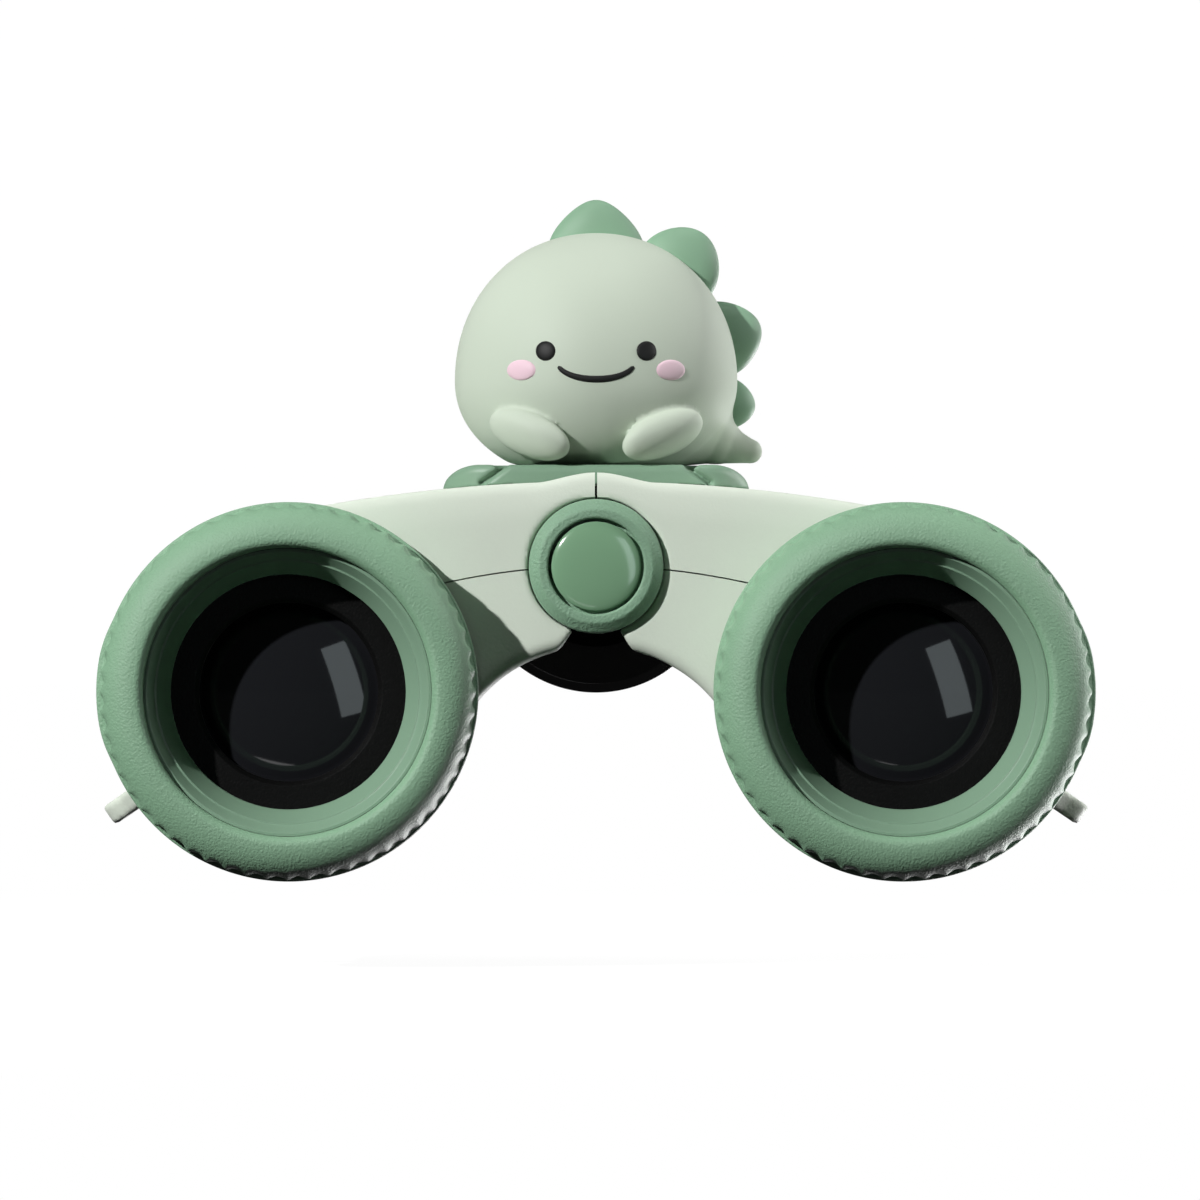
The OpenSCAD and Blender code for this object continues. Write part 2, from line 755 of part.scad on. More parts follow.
// Soft cup that slips over the end of the eyepiece tube and flares to a round lip
module eyecup(side) {
    lip_r = eyepiece_r + eyecup_flare;
    lip_round_r = eyecup_lip_w / 2;
    s_lip = total_l - lip_round_r;
    s_floor = s_eyepiece_end + eyecup_wall;
    root_r = eyepiece_r + eyecup_wall;
    color(sage_green) on_side(side) at_barrel() turned(concat(
        [[eyepiece_r, s_eyepiece_end], [eyepiece_r, s_eyecup], [root_r, s_eyecup]],
        arc_points(root_r, s_lip, lip_r - root_r, s_eyecup + eyecup_wall - s_lip, 90, 0, 8),
        arc_points(lip_r - lip_round_r, s_lip, lip_round_r, lip_round_r, 30, 180, 6),
        [[eyepiece_r - eyecup_wall / 2, s_floor + eyecup_wall], [eyepiece_bore_r, s_floor]],
        [[eyepiece_bore_r, s_eyepiece_end]]
    ));
}

// Arm from the spindle to the clamp ring on the eyepiece tube
module focus_arm(side) {
    s0 = side == left ? s_focus_arm : s_focus_arm_mid;
    clamp_r = eyepiece_r + clamp_wall;
    reach = norm([barrel_x, hinge_rise]);
    reach_in = reach - eyepiece_r + overrun;
    tilt = atan2(hinge_rise, barrel_x);
    color(black) on_side(side) difference() {
        union() {
            at_hinge() rod(s0, s0 + focus_arm_t, focus_eye_r);
            at_hinge() rotate([0, tilt, 0]) plate(s0 + bar_setback, s0 + focus_arm_t - bar_setback) polygon([
                [0, -focus_eye_r / 2], [reach_in, -clamp_r / 2], [reach_in, clamp_r / 2], [0, focus_eye_r / 2]
            ]);
            at_barrel() rod(s_focus_arm, s_focus_arm_end, clamp_r);
        }
        at_barrel() rod(s_focus_arm - overrun, s_focus_arm_end + overrun, eyepiece_r);
        at_hinge() rod(s0 - overrun, s0 + focus_arm_t + overrun, spindle_d / 2 + run_fit);
    }
}

// Drum whose top the saddle sits on: the arms' top arc, raised to clear the arms
module seat_drum(s0, s1) {
    translate([0, 0, top_arc_z]) rod(s0, s1, top_arc_r + free_gap, $fn = wide_fn);
}

// Frame that carries everything in the middle: sleeve on the axle, stem, top plate and rear bearing
module centre_frame() {
    s_end = s_bearing + bearing_t;
    top = bridge_top + free_gap;
    color(black) at_hinge() difference() {
        union() {
            rod(s_sleeve, s_sleeve + sleeve_l, knuckle_r);
            block(-stem_half_w, stem_half_w, s_sleeve, s_sleeve + sleeve_l, 0, frame_floor + overrun);
            intersection() {
                union() {
                    block(-frame_half_w, frame_half_w, s_frame, s_end, frame_floor, top + overrun);
                    block(-frame_half_w, frame_half_w, s_bearing, s_end, 0, top + overrun);
                }
                seat_drum(s_frame - overrun, s_end + overrun);
            }
            rod(s_bearing, s_end, frame_half_w);
        }
        rod(s_sleeve - overrun, s_sleeve + sleeve_l + overrun, axle_r);
        rod(s_bearing - overrun, s_end + overrun, hub_d / 2 + run_fit);
        figure_screw_holes(screw_r + play, frame_floor - overrun, top + overrun);
        figure_screw_holes(screw_head_r + play, frame_floor - overrun, frame_floor + screw_head_h);
    }
}

module figure_screw_holes(r, z0, z1) {
    for (x = [-figure_screw_x, figure_screw_x])
        translate([x, front_y + s_dino, z0]) cylinder(h = z1 - z0, r = r);
}

module hinge_axle() {
    head_share = 0.7;
    color(steel) at_hinge() difference() {
        union() {
            rod(s_stack, s_axle_end, axle_r);
            rod(s_axle_head, s_axle_end, knuckle_r * head_share);
        }
        rod(s_stack - overrun, s_stack + axle_tap_l, screw_r + slip);
    }
}

module hinge_washers() {
    rim_share = 0.88;
    color(white_nylon) at_hinge() for (s = washer_stations) difference() {
        rod(s, s + washer_t, knuckle_r * rim_share);
        rod(s - overrun, s + washer_t + overrun, axle_r + slip);
    }
}

// Cap screwed to the front of the axle, with a recess for the badge and its screw head
module hinge_cap() {
    well_r = badge_r + play;
    s_front = s_arm - cap_h;
    s_back = s_arm - free_gap;
    s_floor = s_back - cap_floor_t;
    spigot_share = 0.66;
    spigot_r = knuckle_r * spigot_share;
    color(sage_green) at_hinge() turned([
        [well_r, s_front], [cap_r - cap_bevel, s_front], [cap_r, s_front + cap_bevel], [cap_r, s_back],
        [spigot_r, s_back], [spigot_r, s_stack], [screw_r + play, s_stack], [screw_r + play, s_arm],
        [screw_head_r + play, s_arm], [screw_head_r + play, s_floor], [well_r, s_floor]
    ]);
}

module hinge_screw() {
    color(steel) at_hinge() {
        rod(s_arm - screw_head_h / 2, s_stack + hinge_screw_reach, screw_r);
        rod(s_arm - screw_head_h, s_arm, screw_head_r);
    }
}

// Glossy domed badge pressed into the cap
module cap_badge() {
    s_front = s_arm - cap_h;
    color(deep_green) at_hinge() turned(concat(
        [[0, s_front + badge_t], [badge_r, s_front + badge_t]],
        arc_points(0, s_front, badge_r, -badge_dome_h, 0, 90, 8)
    ));
}

// Focus wheel with a ribbed rim, a hub that runs in the bearing plate and a hollow rear face
module focus_wheel() {
    edge_r = wheel_r - wheel_round_r;
    core_r = wheel_r - wheel_rib_h - wheel_core_lap;
    s_edge = s_wheel + wheel_round_r;
    s_edge_end = s_wheel_end - wheel_round_r;
    s_grip = s_wheel + wheel_smooth_w;
    s_grip_end = s_wheel_end - wheel_smooth_w;
    color(black) at_hinge() difference() {
        union() {
            turned(concat(
                [[0, s_wheel]],
                arc_points(edge_r, s_edge, wheel_round_r, wheel_round_r, -90, 0, 4),
                [[wheel_r, s_grip], [core_r, s_grip], [core_r, s_grip_end], [wheel_r, s_grip_end]],
                arc_points(edge_r, s_edge_end, wheel_round_r, wheel_round_r, 0, 90, 4),
                [[0, s_wheel_end]]
            ));
            plate(s_grip, s_grip_end) polygon(ribbed_points(wheel_r, wheel_r - wheel_rib_h, wheel_ribs));
            rod(s_hub, s_wheel + overrun, hub_d / 2);
        }
        difference() {
            rod(s_wheel_end - wheel_hollow_l, s_wheel_end + overrun, wheel_r - wheel_rim_wall);
            rod(s_wheel, s_wheel_end + overrun, hub_d / 2 + wheel_boss_wall);
        }
        difference() {
            rod(s_clip - slip, s_clip + clip_t + slip, hub_d / 2 + overrun);
            rod(s_hub, s_wheel + overrun, groove_r);
        }
        rod(s_hub - overrun, s_wheel_end + overrun, spindle_d / 2 + run_fit);
    }
}

// Open clip in the hub's groove, in front of the bearing plate
module wheel_clip() {
    clip_r = hub_d / 2 + clip_proud;
    mouth_share = 0.8;
    mouth_x = groove_r * mouth_share;
    color(steel) at_hinge() difference() {
        rod(s_clip, s_clip + clip_t, clip_r);
        rod(s_clip - overrun, s_clip + clip_t + overrun, groove_r + slip);
        block(-mouth_x, mouth_x, s_clip - overrun, s_clip + clip_t + overrun, -clip_r - overrun, 0);
    }
}

// Screw spindle in the wheel, with a shoulder and a plain journal for the two focus arms
module focus_spindle() {
    color(steel) at_hinge() {
        rod(s_spindle, s_nut + nut_l / 2, spindle_d / 2);
        rod(s_shoulder, s_shoulder + shoulder_t, spindle_d / 2 + spindle_lip);
    }
}

module spindle_nut() {
    nut_r = spindle_d / 2 + nut_wall;
    color(black) at_hinge() difference() {
        turned(concat(
            [[0, s_nut], [nut_r, s_nut]],
            arc_points(0, s_nut + nut_l / 2, nut_r, nut_l / 2, 0, 90, 8)
        ));
        rod(s_nut - overrun, s_nut + nut_l / 2, spindle_d / 2);
    }
}

// Seat between the frame and the figure: round shoulders, and a crease on each side of the front
module saddle() {
    half_w = saddle_w / 2;
    crease_top_share = 0.6;
    crease_foot_share = 0.74;
    s_end = s_saddle + saddle_depth;
    shoulder_z = saddle_top - shoulder_h;
    crease_x = half_w * crease_top_share;
    crease_foot_x = half_w * crease_foot_share;
    color(sage_green) at_hinge() difference() {
        intersection() {
            plate(s_saddle, s_end) polygon(concat(
                arc_points(half_w - shoulder_w, shoulder_z, shoulder_w, shoulder_h, 0, 90, 8),
                arc_points(shoulder_w - half_w, shoulder_z, shoulder_w, shoulder_h, 90, 180, 8)
            ));
            translate([0, front_y + s_dino, 0]) linear_extrude(saddle_top + overrun)
                polygon(rounded_corners(half_w + slip, saddle_depth / 2 + slip, saddle_corner_r));
        }
        seat_drum(s_saddle - overrun, s_end + overrun);
        for (turn = [-1, 1]) plate(s_saddle - overrun, s_saddle + crease_depth) polygon([
            [turn * crease_x, saddle_top + overrun], [turn * (crease_x + crease_w), saddle_top + overrun],
            [turn * (crease_foot_x + crease_w), shoulder_z], [turn * crease_foot_x, shoulder_z]
        ]);
        figure_screw_holes(screw_r + play, bridge_top - overrun, saddle_top + overrun);
    }
}

module at_dino() {
    translate([0, front_y + s_dino, dino_z]) children();
}

// Plump egg of the figure's body, grown by a skin thickness
module dino_egg(skin) {
    base_angle = -asin(pow(dino_belly_h / dino_under_h, dino_fullness / 2));
    steps = 20;
    crown_points = egg_points(dino_r + skin, dino_belly_h, dino_crown_h + skin, 0, 90, steps);
    rotate_extrude() polygon(concat(
        [[0, 0]],
        egg_points(dino_r + skin, dino_belly_h, dino_under_h + skin, base_angle, 0, steps / 2),
        [for (i = [1:steps]) crown_points[i]]
    ));
}

// Body and tail as one form
module dino_form() {
    tail_root_share = 0.5;
    tail_tip_share = 1.08;
    tail_x = dino_r * tail_tip_share;
    root_x = dino_r * tail_root_share;
    root_z = tail_root_r + tail_lift;
    run = norm([tail_x - root_x, root_z - tail_lift]);
    tilt = 90 + atan2(root_z - tail_lift, tail_x - root_x);
    dino_egg(0);
    translate([root_x, crest_back, root_z]) rotate([0, tilt, 0])
        cylinder(h = run, r1 = tail_root_r, r2 = tail_tip_r - slip);
    translate([tail_x, crest_back, tail_lift]) sphere(tail_tip_r);
}

module dino_body() {
    color(pale_green) difference() {
        at_dino() dino_form();
        at_hinge() figure_screw_holes(screw_r + slip, bridge_top, saddle_top + screw_reach + free_gap);
    }
}

module dino_screws() {
    z0 = frame_floor + screw_head_h;
    color(steel) at_hinge() {
        figure_screw_holes(screw_r, z0 - screw_head_h / 2, saddle_top + screw_reach);
        figure_screw_holes(screw_head_r, z0 - screw_head_h, z0);
    }
}

// Paw laid against the front of the body, its inner end low
module dino_paw(side) {
    paw_x_share = 0.48;
    paw_x = dino_r * paw_x_share;
    dip = 25;
    body_r = dino_radius(paw_rise) + paw_proud;
    swing = asin(paw_x / body_r);
    color(pale_green) at_dino() on_side(side) difference() {
        translate([paw_x, -body_r * cos(swing), paw_rise]) rotate([0, 0, swing]) rotate([0, 90 - dip, 0])
            rotate_extrude() polygon(arc_points(0, 0, paw_d / 2, paw_l / 2, -90, 90, 16));
        dino_egg(0);
    }
}

// Crest plate standing on the body's outline, at an angle from the crown towards the tail
module dino_plate(i) {
    angle = plate_angles[i];
    width = plate_w * plate_w_shares[i];
    height = plate_h * plate_h_shares[i];
    taper_share = 0.3;
    steps = 14;
    foot_x = dino_radius_at(angle) * sin(angle);
    foot_z = dino_belly_h + dino_radius_at(angle) * cos(angle);
    foot = [[-width / 2, -plate_sink], [width / 2, -plate_sink]];
    outline = [for (i = [0:steps]) let (a = 180 * i / steps, rise = sin(a))
        [width / 2 * cos(a) * (1 - taper_share * rise), height * rise]];
    color(sage_green) at_dino() difference() {
        translate([foot_x, crest_back + plate_t / 2, foot_z]) rotate([90, 0, 0]) rotate([0, 0, -angle])
            linear_extrude(plate_t) polygon(concat(outline, foot));
        dino_form();
    }
}

// Thin inlay on the front of the body, cut from a skin by a flat outline
module inlay(x, z) {
    at_dino() difference() {
        intersection() {
            dino_egg(inlay_t);
            translate([x, 0, z]) rotate([90, 0, 0]) linear_extrude(dino_r + overrun) children();
        }
        dino_egg(0);
    }
}

module dino_eyes() {
    color(black) for (x = [-eye_x, eye_x]) inlay(x, eye_z) circle(eye_r);
}

module dino_smile() {
    steps = 12;
    color(black) inlay(0, smile_z) polygon(concat(
        arc_points(0, 0, smile_half_w, smile_dip, 180, 360, steps),
        arc_points(0, 0, smile_half_w - smile_t, smile_dip - smile_t, 360, 180, steps)
    ));
}

module dino_cheeks() {
    color(blush) for (x = [-cheek_x, cheek_x]) inlay(x, cheek_z)
        polygon(arc_points(0, 0, cheek_w / 2, cheek_h / 2, 0, 345, 23));
}

upper_shell(left);  // left_upper_shell
upper_shell(right);  // right_upper_shell
lower_shell(left);  // left_lower_shell
lower_shell(right);  // right_lower_shell
objective_cell(left);  // left_objective_cell
objective_cell(right);  // right_objective_cell
objective_ring(left);  // left_objective_ring
objective_ring(right);  // right_objective_ring
bezel(left);  // left_bezel
bezel(right);  // right_bezel
lens_retainer(left);  // left_lens_retainer
lens_retainer(right);  // right_lens_retainer
objective_lens(left);  // left_objective_lens
objective_lens(right);  // right_objective_lens
optical_tube(left);  // left_optical_tube
optical_tube(right);  // right_optical_tube
shell_screws(left);  // left_shell_screws
shell_screws(right);  // right_shell_screws
eyepiece_tube(left);  // left_eyepiece_tube
eyepiece_tube(right);  // right_eyepiece_tube
eye_lens(left);  // left_eye_lens
eye_lens(right);  // right_eye_lens
eye_lens_ring(left);  // left_eye_lens_ring
eye_lens_ring(right);  // right_eye_lens_ring
eyecup(left);  // left_eyecup
eyecup(right);  // right_eyecup
focus_arm(left);  // left_focus_arm
focus_arm(right);  // right_focus_arm
centre_frame();
hinge_axle();
hinge_washers();
hinge_cap();
hinge_screw();
cap_badge();
focus_wheel();
wheel_clip();
focus_spindle();
spindle_nut();
saddle();
dino_body();
dino_paw(left);  // dino_left_paw
dino_paw(right);  // dino_right_paw
dino_plate(0);  // dino_head_plate
dino_plate(1);  // dino_neck_plate
dino_plate(2);  // dino_back_plate
dino_plate(3);  // dino_tail_plate
dino_eyes();
dino_smile();
dino_cheeks();
dino_screws();
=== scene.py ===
import json
import math

import bmesh
import bpy
import numpy as np
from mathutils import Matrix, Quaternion, Vector


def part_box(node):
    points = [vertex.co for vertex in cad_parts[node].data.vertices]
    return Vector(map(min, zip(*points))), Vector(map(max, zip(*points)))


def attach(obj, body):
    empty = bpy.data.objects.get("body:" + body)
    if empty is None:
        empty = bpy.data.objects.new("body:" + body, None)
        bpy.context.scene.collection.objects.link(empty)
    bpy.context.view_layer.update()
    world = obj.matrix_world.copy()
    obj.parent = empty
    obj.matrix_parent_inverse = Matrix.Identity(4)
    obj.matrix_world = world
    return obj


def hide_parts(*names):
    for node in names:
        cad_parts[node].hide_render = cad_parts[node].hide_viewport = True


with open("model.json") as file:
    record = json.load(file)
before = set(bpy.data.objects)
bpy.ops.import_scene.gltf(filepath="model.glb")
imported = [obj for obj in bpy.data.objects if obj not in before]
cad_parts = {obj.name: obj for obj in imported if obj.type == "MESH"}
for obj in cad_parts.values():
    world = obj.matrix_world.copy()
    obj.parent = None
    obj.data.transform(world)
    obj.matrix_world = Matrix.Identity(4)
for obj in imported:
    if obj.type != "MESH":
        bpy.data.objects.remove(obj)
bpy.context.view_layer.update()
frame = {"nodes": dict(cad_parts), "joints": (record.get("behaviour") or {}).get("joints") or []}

# Housing shells: an upper and a lower moulding for each half, of pale green matte plastic with a fine grain.
# They meet at an arc-shaped parting line in the bridge and are screwed together from below. The strap lug is
# moulded on the lower shell, and a hinge knuckle on the upper one.

MM = 0.001
ring_box = [np.array(corner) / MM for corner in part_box("right_objective_ring")]
lens_box = [np.array(corner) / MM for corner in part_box("right_objective_lens")]
fold = next(joint for joint in frame["joints"] if joint["name"] == "right_fold")
FRONT = ring_box[0][1]
BARREL_X, _, AXIS_Z = (lens_box[0] + lens_box[1]) / 2
HINGE_Z = fold["pos_m"][2] / MM


class Wire:
    """A node's output that can be used in sums, which make Math nodes."""

    def __init__(self, tree, socket):
        self.tree = tree
        self.socket = socket

    def make(self, kind, settings, inputs, output=0):
        """Adds a node, sets its options first, then fills its inputs with wires or values."""
        node = self.tree.nodes.new(kind)
        for key, value in settings.items():
            setattr(node, key, value)
        for key, value in inputs.items():
            if isinstance(value, Wire):
                self.tree.links.new(value.socket, node.inputs[key])
            else:
                node.inputs[key].default_value = value
        return Wire(self.tree, node.outputs[output] if node.outputs else None)

    def math(self, operation, *values):
        return self.make("ShaderNodeMath", {"operation": operation}, dict(enumerate(values)))

    def __add__(self, other):
        return self.math("ADD", self, other)

    def __sub__(self, other):
        return self.math("SUBTRACT", self, other)

    def __mul__(self, other):
        return self.math("MULTIPLY", self, other)

    def __truediv__(self, other):
        return self.math("DIVIDE", self, other)

    def __rsub__(self, other):
        return self.math("SUBTRACT", other, self)

    __radd__ = __add__
    __rmul__ = __mul__


CLOUD_L = 9


def finish_of(
    name, colour, roughness, grain, depth, pebble=0.0, coat=0.0, tint=0.06, metallic=0.0, specular=0.5
):
    """A procedural surface, its grain and depth in millimetres.

    The colour is in sRGB, and pebble is the cells' share of the grain.
    """
    material = bpy.data.materials.new(name)
    material.use_nodes = True
    tree = material.node_tree
    tree.nodes.clear()
    start = Wire(tree, None)
    srgb = [value / 255 for value in colour]
    linear = [c / 12.92 if c <= 0.04045 else ((c + 0.055) / 1.055) ** 2.4 for c in srgb]
    place_at = start.make("ShaderNodeTexCoord", {}, {}, "Object")
    speckle = {"Scale": 1 / (grain * MM), "Detail": 3.0, "Roughness": 0.6}
    fine = start.make("ShaderNodeTexNoise", {}, {"Vector": place_at, **speckle}, "Fac")
    cloud = {"Scale": 1 / (CLOUD_L * MM), "Detail": 2.0}
    broad = start.make("ShaderNodeTexNoise", {}, {"Vector": place_at, **cloud}, "Fac")
    height = fine
    if pebble:
        cells = start.make(
            "ShaderNodeTexVoronoi",
            {"feature": "SMOOTH_F1"},
            {"Vector": place_at, "Scale": 1 / (1.5 * grain * MM), "Smoothness": 0.6},
            "Distance",
        )
        height = fine * (1 - pebble) + (1 - cells) * pebble
    shade = 1 + (broad - 0.5) * tint + (height - 0.5) * tint
    base = start.make(
        "ShaderNodeVectorMath", {"operation": "SCALE"}, {0: linear, "Scale": shade}, "Vector"
    )
    normal = start.make(
        "ShaderNodeBump", {}, {"Height": height, "Distance": depth * MM, "Strength": 1.0}, "Normal"
    )
    shader = start.make(
        "ShaderNodeBsdfPrincipled",
        {},
        {
            "Base Color": base,
            "Roughness": roughness * (0.85 + 0.3 * fine),
            "Diffuse Roughness": 0.3,
            "Metallic": metallic,
            "Specular IOR Level": specular,
            "Coat Weight": coat,
            "Coat Roughness": 0.08,
            "Normal": normal,
        },
    )
    start.make("ShaderNodeOutputMaterial", {}, {"Surface": shader})
    return material


def round_max(a, b, r):
    """What two fields share, with the edge between them rounded."""
    return np.minimum(-r, np.maximum(a, b)) + np.hypot(np.maximum(a + r, 0), np.maximum(b + r, 0))


def round_min(a, b, r):
    """Two fields joined, with a fillet between them."""
    return -round_max(-a, -b, r)


def oval(across, along, half_across, half_along):
    """Distance to an ellipse's quarter, from how far a point lies along its two half axes."""
    u = np.maximum(across, 0) / half_across
    v = np.maximum(along, 0) / half_along
    reach = np.hypot(u, v)
    slope = np.maximum(np.hypot(u / half_across, v / half_along), 1e-9)
    return np.where(reach > 1e-3, (reach - 1) * reach / slope, -min(half_across, half_along))


def skin(field, low, high, step):
    """Meshes a field's zero surface inside a box: a point in each crossed cell, pulled onto the surface."""
    axes = [np.arange(a, b + step, step) for a, b in zip(low, high)]
    inside = field(*np.meshgrid(*axes, indexing="ij")) < 0
    size = [len(axis) - 1 for axis in axes]
    corners = [(i, j, k) for i in (0, 1) for j in (0, 1) for k in (0, 1)]
    count = sum(
        inside[i : i + size[0], j : j + size[1], k : k + size[2]].astype(np.int8) for i, j, k in corners
    )
    crossed = (count > 0) & (count < 8)
    index = np.full(crossed.shape, -1)
    index[crossed] = np.arange(crossed.sum())
    cells = np.argwhere(crossed)
    points = np.stack([axes[d][cells[:, d]] + step / 2 for d in range(3)], axis=1)
    faces = []
    for axis in range(3):
        u, v = (axis + 1) % 3, (axis + 2) % 3
        near = [slice(1, -1)] * 3
        far = list(near)
        near[axis], far[axis] = slice(0, -1), slice(1, None)
        a, b = inside[tuple(near)], inside[tuple(far)]
        for edges, order in ((a & ~b, (0, 1, 2, 3)), (b & ~a, (3, 2, 1, 0))):
            at = np.argwhere(edges)
            at[:, u] += 1
            at[:, v] += 1
            ring = []
            for du, dv in ((-1, -1), (0, -1), (0, 0), (-1, 0)):
                cell = at.copy()
                cell[:, u] += du
                cell[:, v] += dv
                ring.append(index[cell[:, 0], cell[:, 1], cell[:, 2]])
            faces.append(np.stack([ring[i] for i in order], axis=1))
    faces = np.concatenate(faces)
    sides = np.concatenate([faces[:, [i, (i + 1) % 4]] for i in range(4)])
    probe = step * 0.05

    def pull(points):
        value = field(*points.T)
        ahead = [field(*(points + shift).T) for shift in np.eye(3) * probe]
        behind = [field(*(points - shift).T) for shift in np.eye(3) * probe]
        slope = np.stack([(a - b) / (2 * probe) for a, b in zip(ahead, behind)], axis=1)
        move = slope * (value / np.maximum((slope**2).sum(1), 1e-4))[:, None]
        return points - np.clip(move, -step, step)

    for _ in range(3):
        total = np.zeros_like(points)
        share = np.zeros(len(points))
        np.add.at(total, sides[:, 0], points[sides[:, 1]])
        np.add.at(share, sides[:, 0], 1)
        points = pull(pull(0.5 * points + 0.5 * total / share[:, None]))
    return pull(points), faces.tolist()


def slice_off(points, faces, normal, level):
    """Cuts away what lies beyond a plane, and closes the cut."""
    mesh = bpy.data.meshes.new("cut")
    mesh.from_pydata(points, [], faces)
    work = bmesh.new()
    work.from_mesh(mesh)
    bpy.data.meshes.remove(mesh)
    normal = Vector(normal)
    cut = bmesh.ops.bisect_plane(
        work,
        geom=work.verts[:] + work.edges[:] + work.faces[:],
        dist=1e-6,
        plane_co=normal * level,
        plane_no=normal,
        clear_outer=True,
    )
    edges = [item for item in cut["geom_cut"] if isinstance(item, bmesh.types.BMEdge)]
    bmesh.ops.triangle_fill(work, use_beauty=True, edges=edges, normal=normal)
    bmesh.ops.recalc_face_normals(work, faces=work.faces[:])
    points = np.array([v.co[:] for v in work.verts])
    faces = [[v.index for v in face.verts] for face in work.faces]
    work.free()
    return points, faces


def turn(profile, x, z, segments):
    """Turns a closed outline of (radius, depth) points about an axis that runs from front to back."""
    points, faces, rows = [], [], []
    angles = np.arange(segments) * 2 * math.pi / segments
    for radius, depth in profile:
        start = len(points)
        if radius < 1e-6:
            points.append((x, depth, z))
            rows.append([start] * segments)
        else:
            points += [(x + radius * math.cos(a), depth, z + radius * math.sin(a)) for a in angles]
            rows.append(list(range(start, start + segments)))
    for row, after in zip(rows, rows[1:] + rows[:1]):
        for i in range(segments):
            j = (i + 1) % segments
            corners = [row[i], row[j], after[j], after[i]]
            corners = [c for n, c in enumerate(corners) if c != corners[n - 1]]
            if len(corners) > 2:
                faces.append(corners)
    area = sum(a[0] * b[1] - b[0] * a[1] for a, b in zip(profile, profile[1:] + profile[:1]))
    return np.array(points), [face[::-1] for face in faces] if area > 0 else faces


SUPPORT_SHARE = 1.12


def rounded(corners, steps=5):
    """Outline through (radius, depth, fillet) corners, with a support point at both ends of each fillet."""
    outline = []
    befores, afters = corners[-1:] + corners[:-1], corners[1:] + corners[:1]
    for before, (r, s, fillet), after in zip(befores, corners, afters):
        here = np.array((r, s))
        if not fillet:
            outline.append((r, s))
            continue
        back, ahead = np.array(before[:2]) - here, np.array(after[:2]) - here
        back, ahead = back / np.linalg.norm(back), ahead / np.linalg.norm(ahead)
        half = math.acos(max(-1.0, min(1.0, float(back @ ahead)))) / 2
        run = fillet / math.tan(half)
        centre = here + (back + ahead) / np.linalg.norm(back + ahead) * fillet / math.sin(half)
        first, last = here + back * run - centre, here + ahead * run - centre
        sweep = math.pi - 2 * half
        outline.append(tuple(here + back * run * SUPPORT_SHARE))
        for i in range(steps + 1):
            t = i / steps
            arm = (first * math.sin((1 - t) * sweep) + last * math.sin(t * sweep)) / math.sin(sweep)
            outline.append(tuple(centre + arm))
        outline.append(tuple(here + ahead * run * SUPPORT_SHARE))
    return [(float(max(r, 0)), float(s)) for r, s in outline]


def place(name, shape, material, body, nodes, side=1, crease=50):
    """Makes a piece from points in millimetres, across, back and up, hangs it under its body and hides its
    CAD nodes.
    """
    points, faces = shape
    points = (np.asarray(points) * (side, 1, 1) + (0, FRONT, 0)) * MM
    mesh = bpy.data.meshes.new(name)
    mesh.from_pydata(points.tolist(), [], faces if side > 0 else [face[::-1] for face in faces])
    mesh.shade_smooth()
    mesh.set_sharp_from_angle(angle=math.radians(crease))
    mesh.materials.append(material)
    piece = bpy.data.objects.new(name, mesh)
    bpy.context.scene.collection.objects.link(piece)
    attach(piece, body)
    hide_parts(*nodes)
    return piece


def joined(*shapes):
    """Several shapes as one list of points and faces."""
    points, faces = [], []
    for shape_points, shape_faces in shapes:
        faces += [[i + len(points) for i in face] for face in shape_faces]
        points += [tuple(p) for p in shape_points]
    return np.array(points), faces


def blank_box(x0, x1, s0, s1, z0, z1):
    """A plain block."""
    points = [(x, s, z) for x in (x0, x1) for s in (s0, s1) for z in (z0, z1)]
    return points, [[0, 1, 3, 2], [4, 6, 7, 5], [0, 4, 5, 1], [2, 3, 7, 6], [0, 2, 6, 4], [1, 5, 7, 3]]


def finish_kept(node, material):
    """Gives its finish to a CAD piece that shows as it is."""
    kept = frame["nodes"][node].data
    kept.materials.clear()
    kept.materials.append(material)


SIDES = (("left", -1), ("right", 1))
BARREL_R = 19.9
REAR_R = 16.5
ROUND_L = 11.0
S_RING = 12.0
S_ARM = 12.5
S_ARM_END = 42.5
S_BARREL_END = 55.7
BRIDGE_TOP = 9.4
ARCH_DROP = 8.9
PARTING_R = 77.0
POCKET_R = 7.55
BOSS_R = 10.4
BEVEL_TILT = math.radians(14)
BEVEL_W = 2.0
BOSS_HALF_L = 2
BOSS_TAPER = 0.6
BOSS_FILLET = 0.9
BARREL_FILLET = 0.8
TOP_SINK = 0.4
ARCH_SINK = 1.0
ARM_EDGE = 1.0
FACE_EDGE = 1.4
SOFT_EDGE = 0.4
CUT_EDGE = 0.3
BEVEL_EDGE = 0.5
POCKET_EDGE = 0.5
CELL_BORE_R = 17.55
CELL_BORE_END = 16
TUBE_BORE_R = 16
TUBE_BORE_END = 49.7
REAR_BORE_R = 14.05
MITRE = math.radians(34)
MITRE_DROP = 3.3
RECESS_X = 9.4
RECESS_S = 16.9
RECESS_H = 6.4
SCREW_X = 14.6
SCREW_MID = 27.5
SCREW_APART = 8.4
SCREW_SEAT = -6.5
SCREW_BORE = 2.1
LUG_TILT = math.radians(34.5)
LUG_HOLE = 22.4
LUG_S = 21.0
LUG_HALF = 1.2
LUG_END_R = 2.1
LUG_EYE_R = 1.25
LUG_ROOT = 5
LUG_FLARE = 1.16
LUG_START = 17
LUG_EDGE = 0.45
LUG_EYE_EDGE = 0.25
KNUCKLE_R = 6.2
KNUCKLE_EDGE = 0.3
AXLE_BORE = 2.56
KNUCKLE_SPANS = {"left": (15.7, 20.7), "right": (27.6, 32.6)}
WEB_X = 8.5
WEB_LAP = 1
WEB_INSET = 0.2
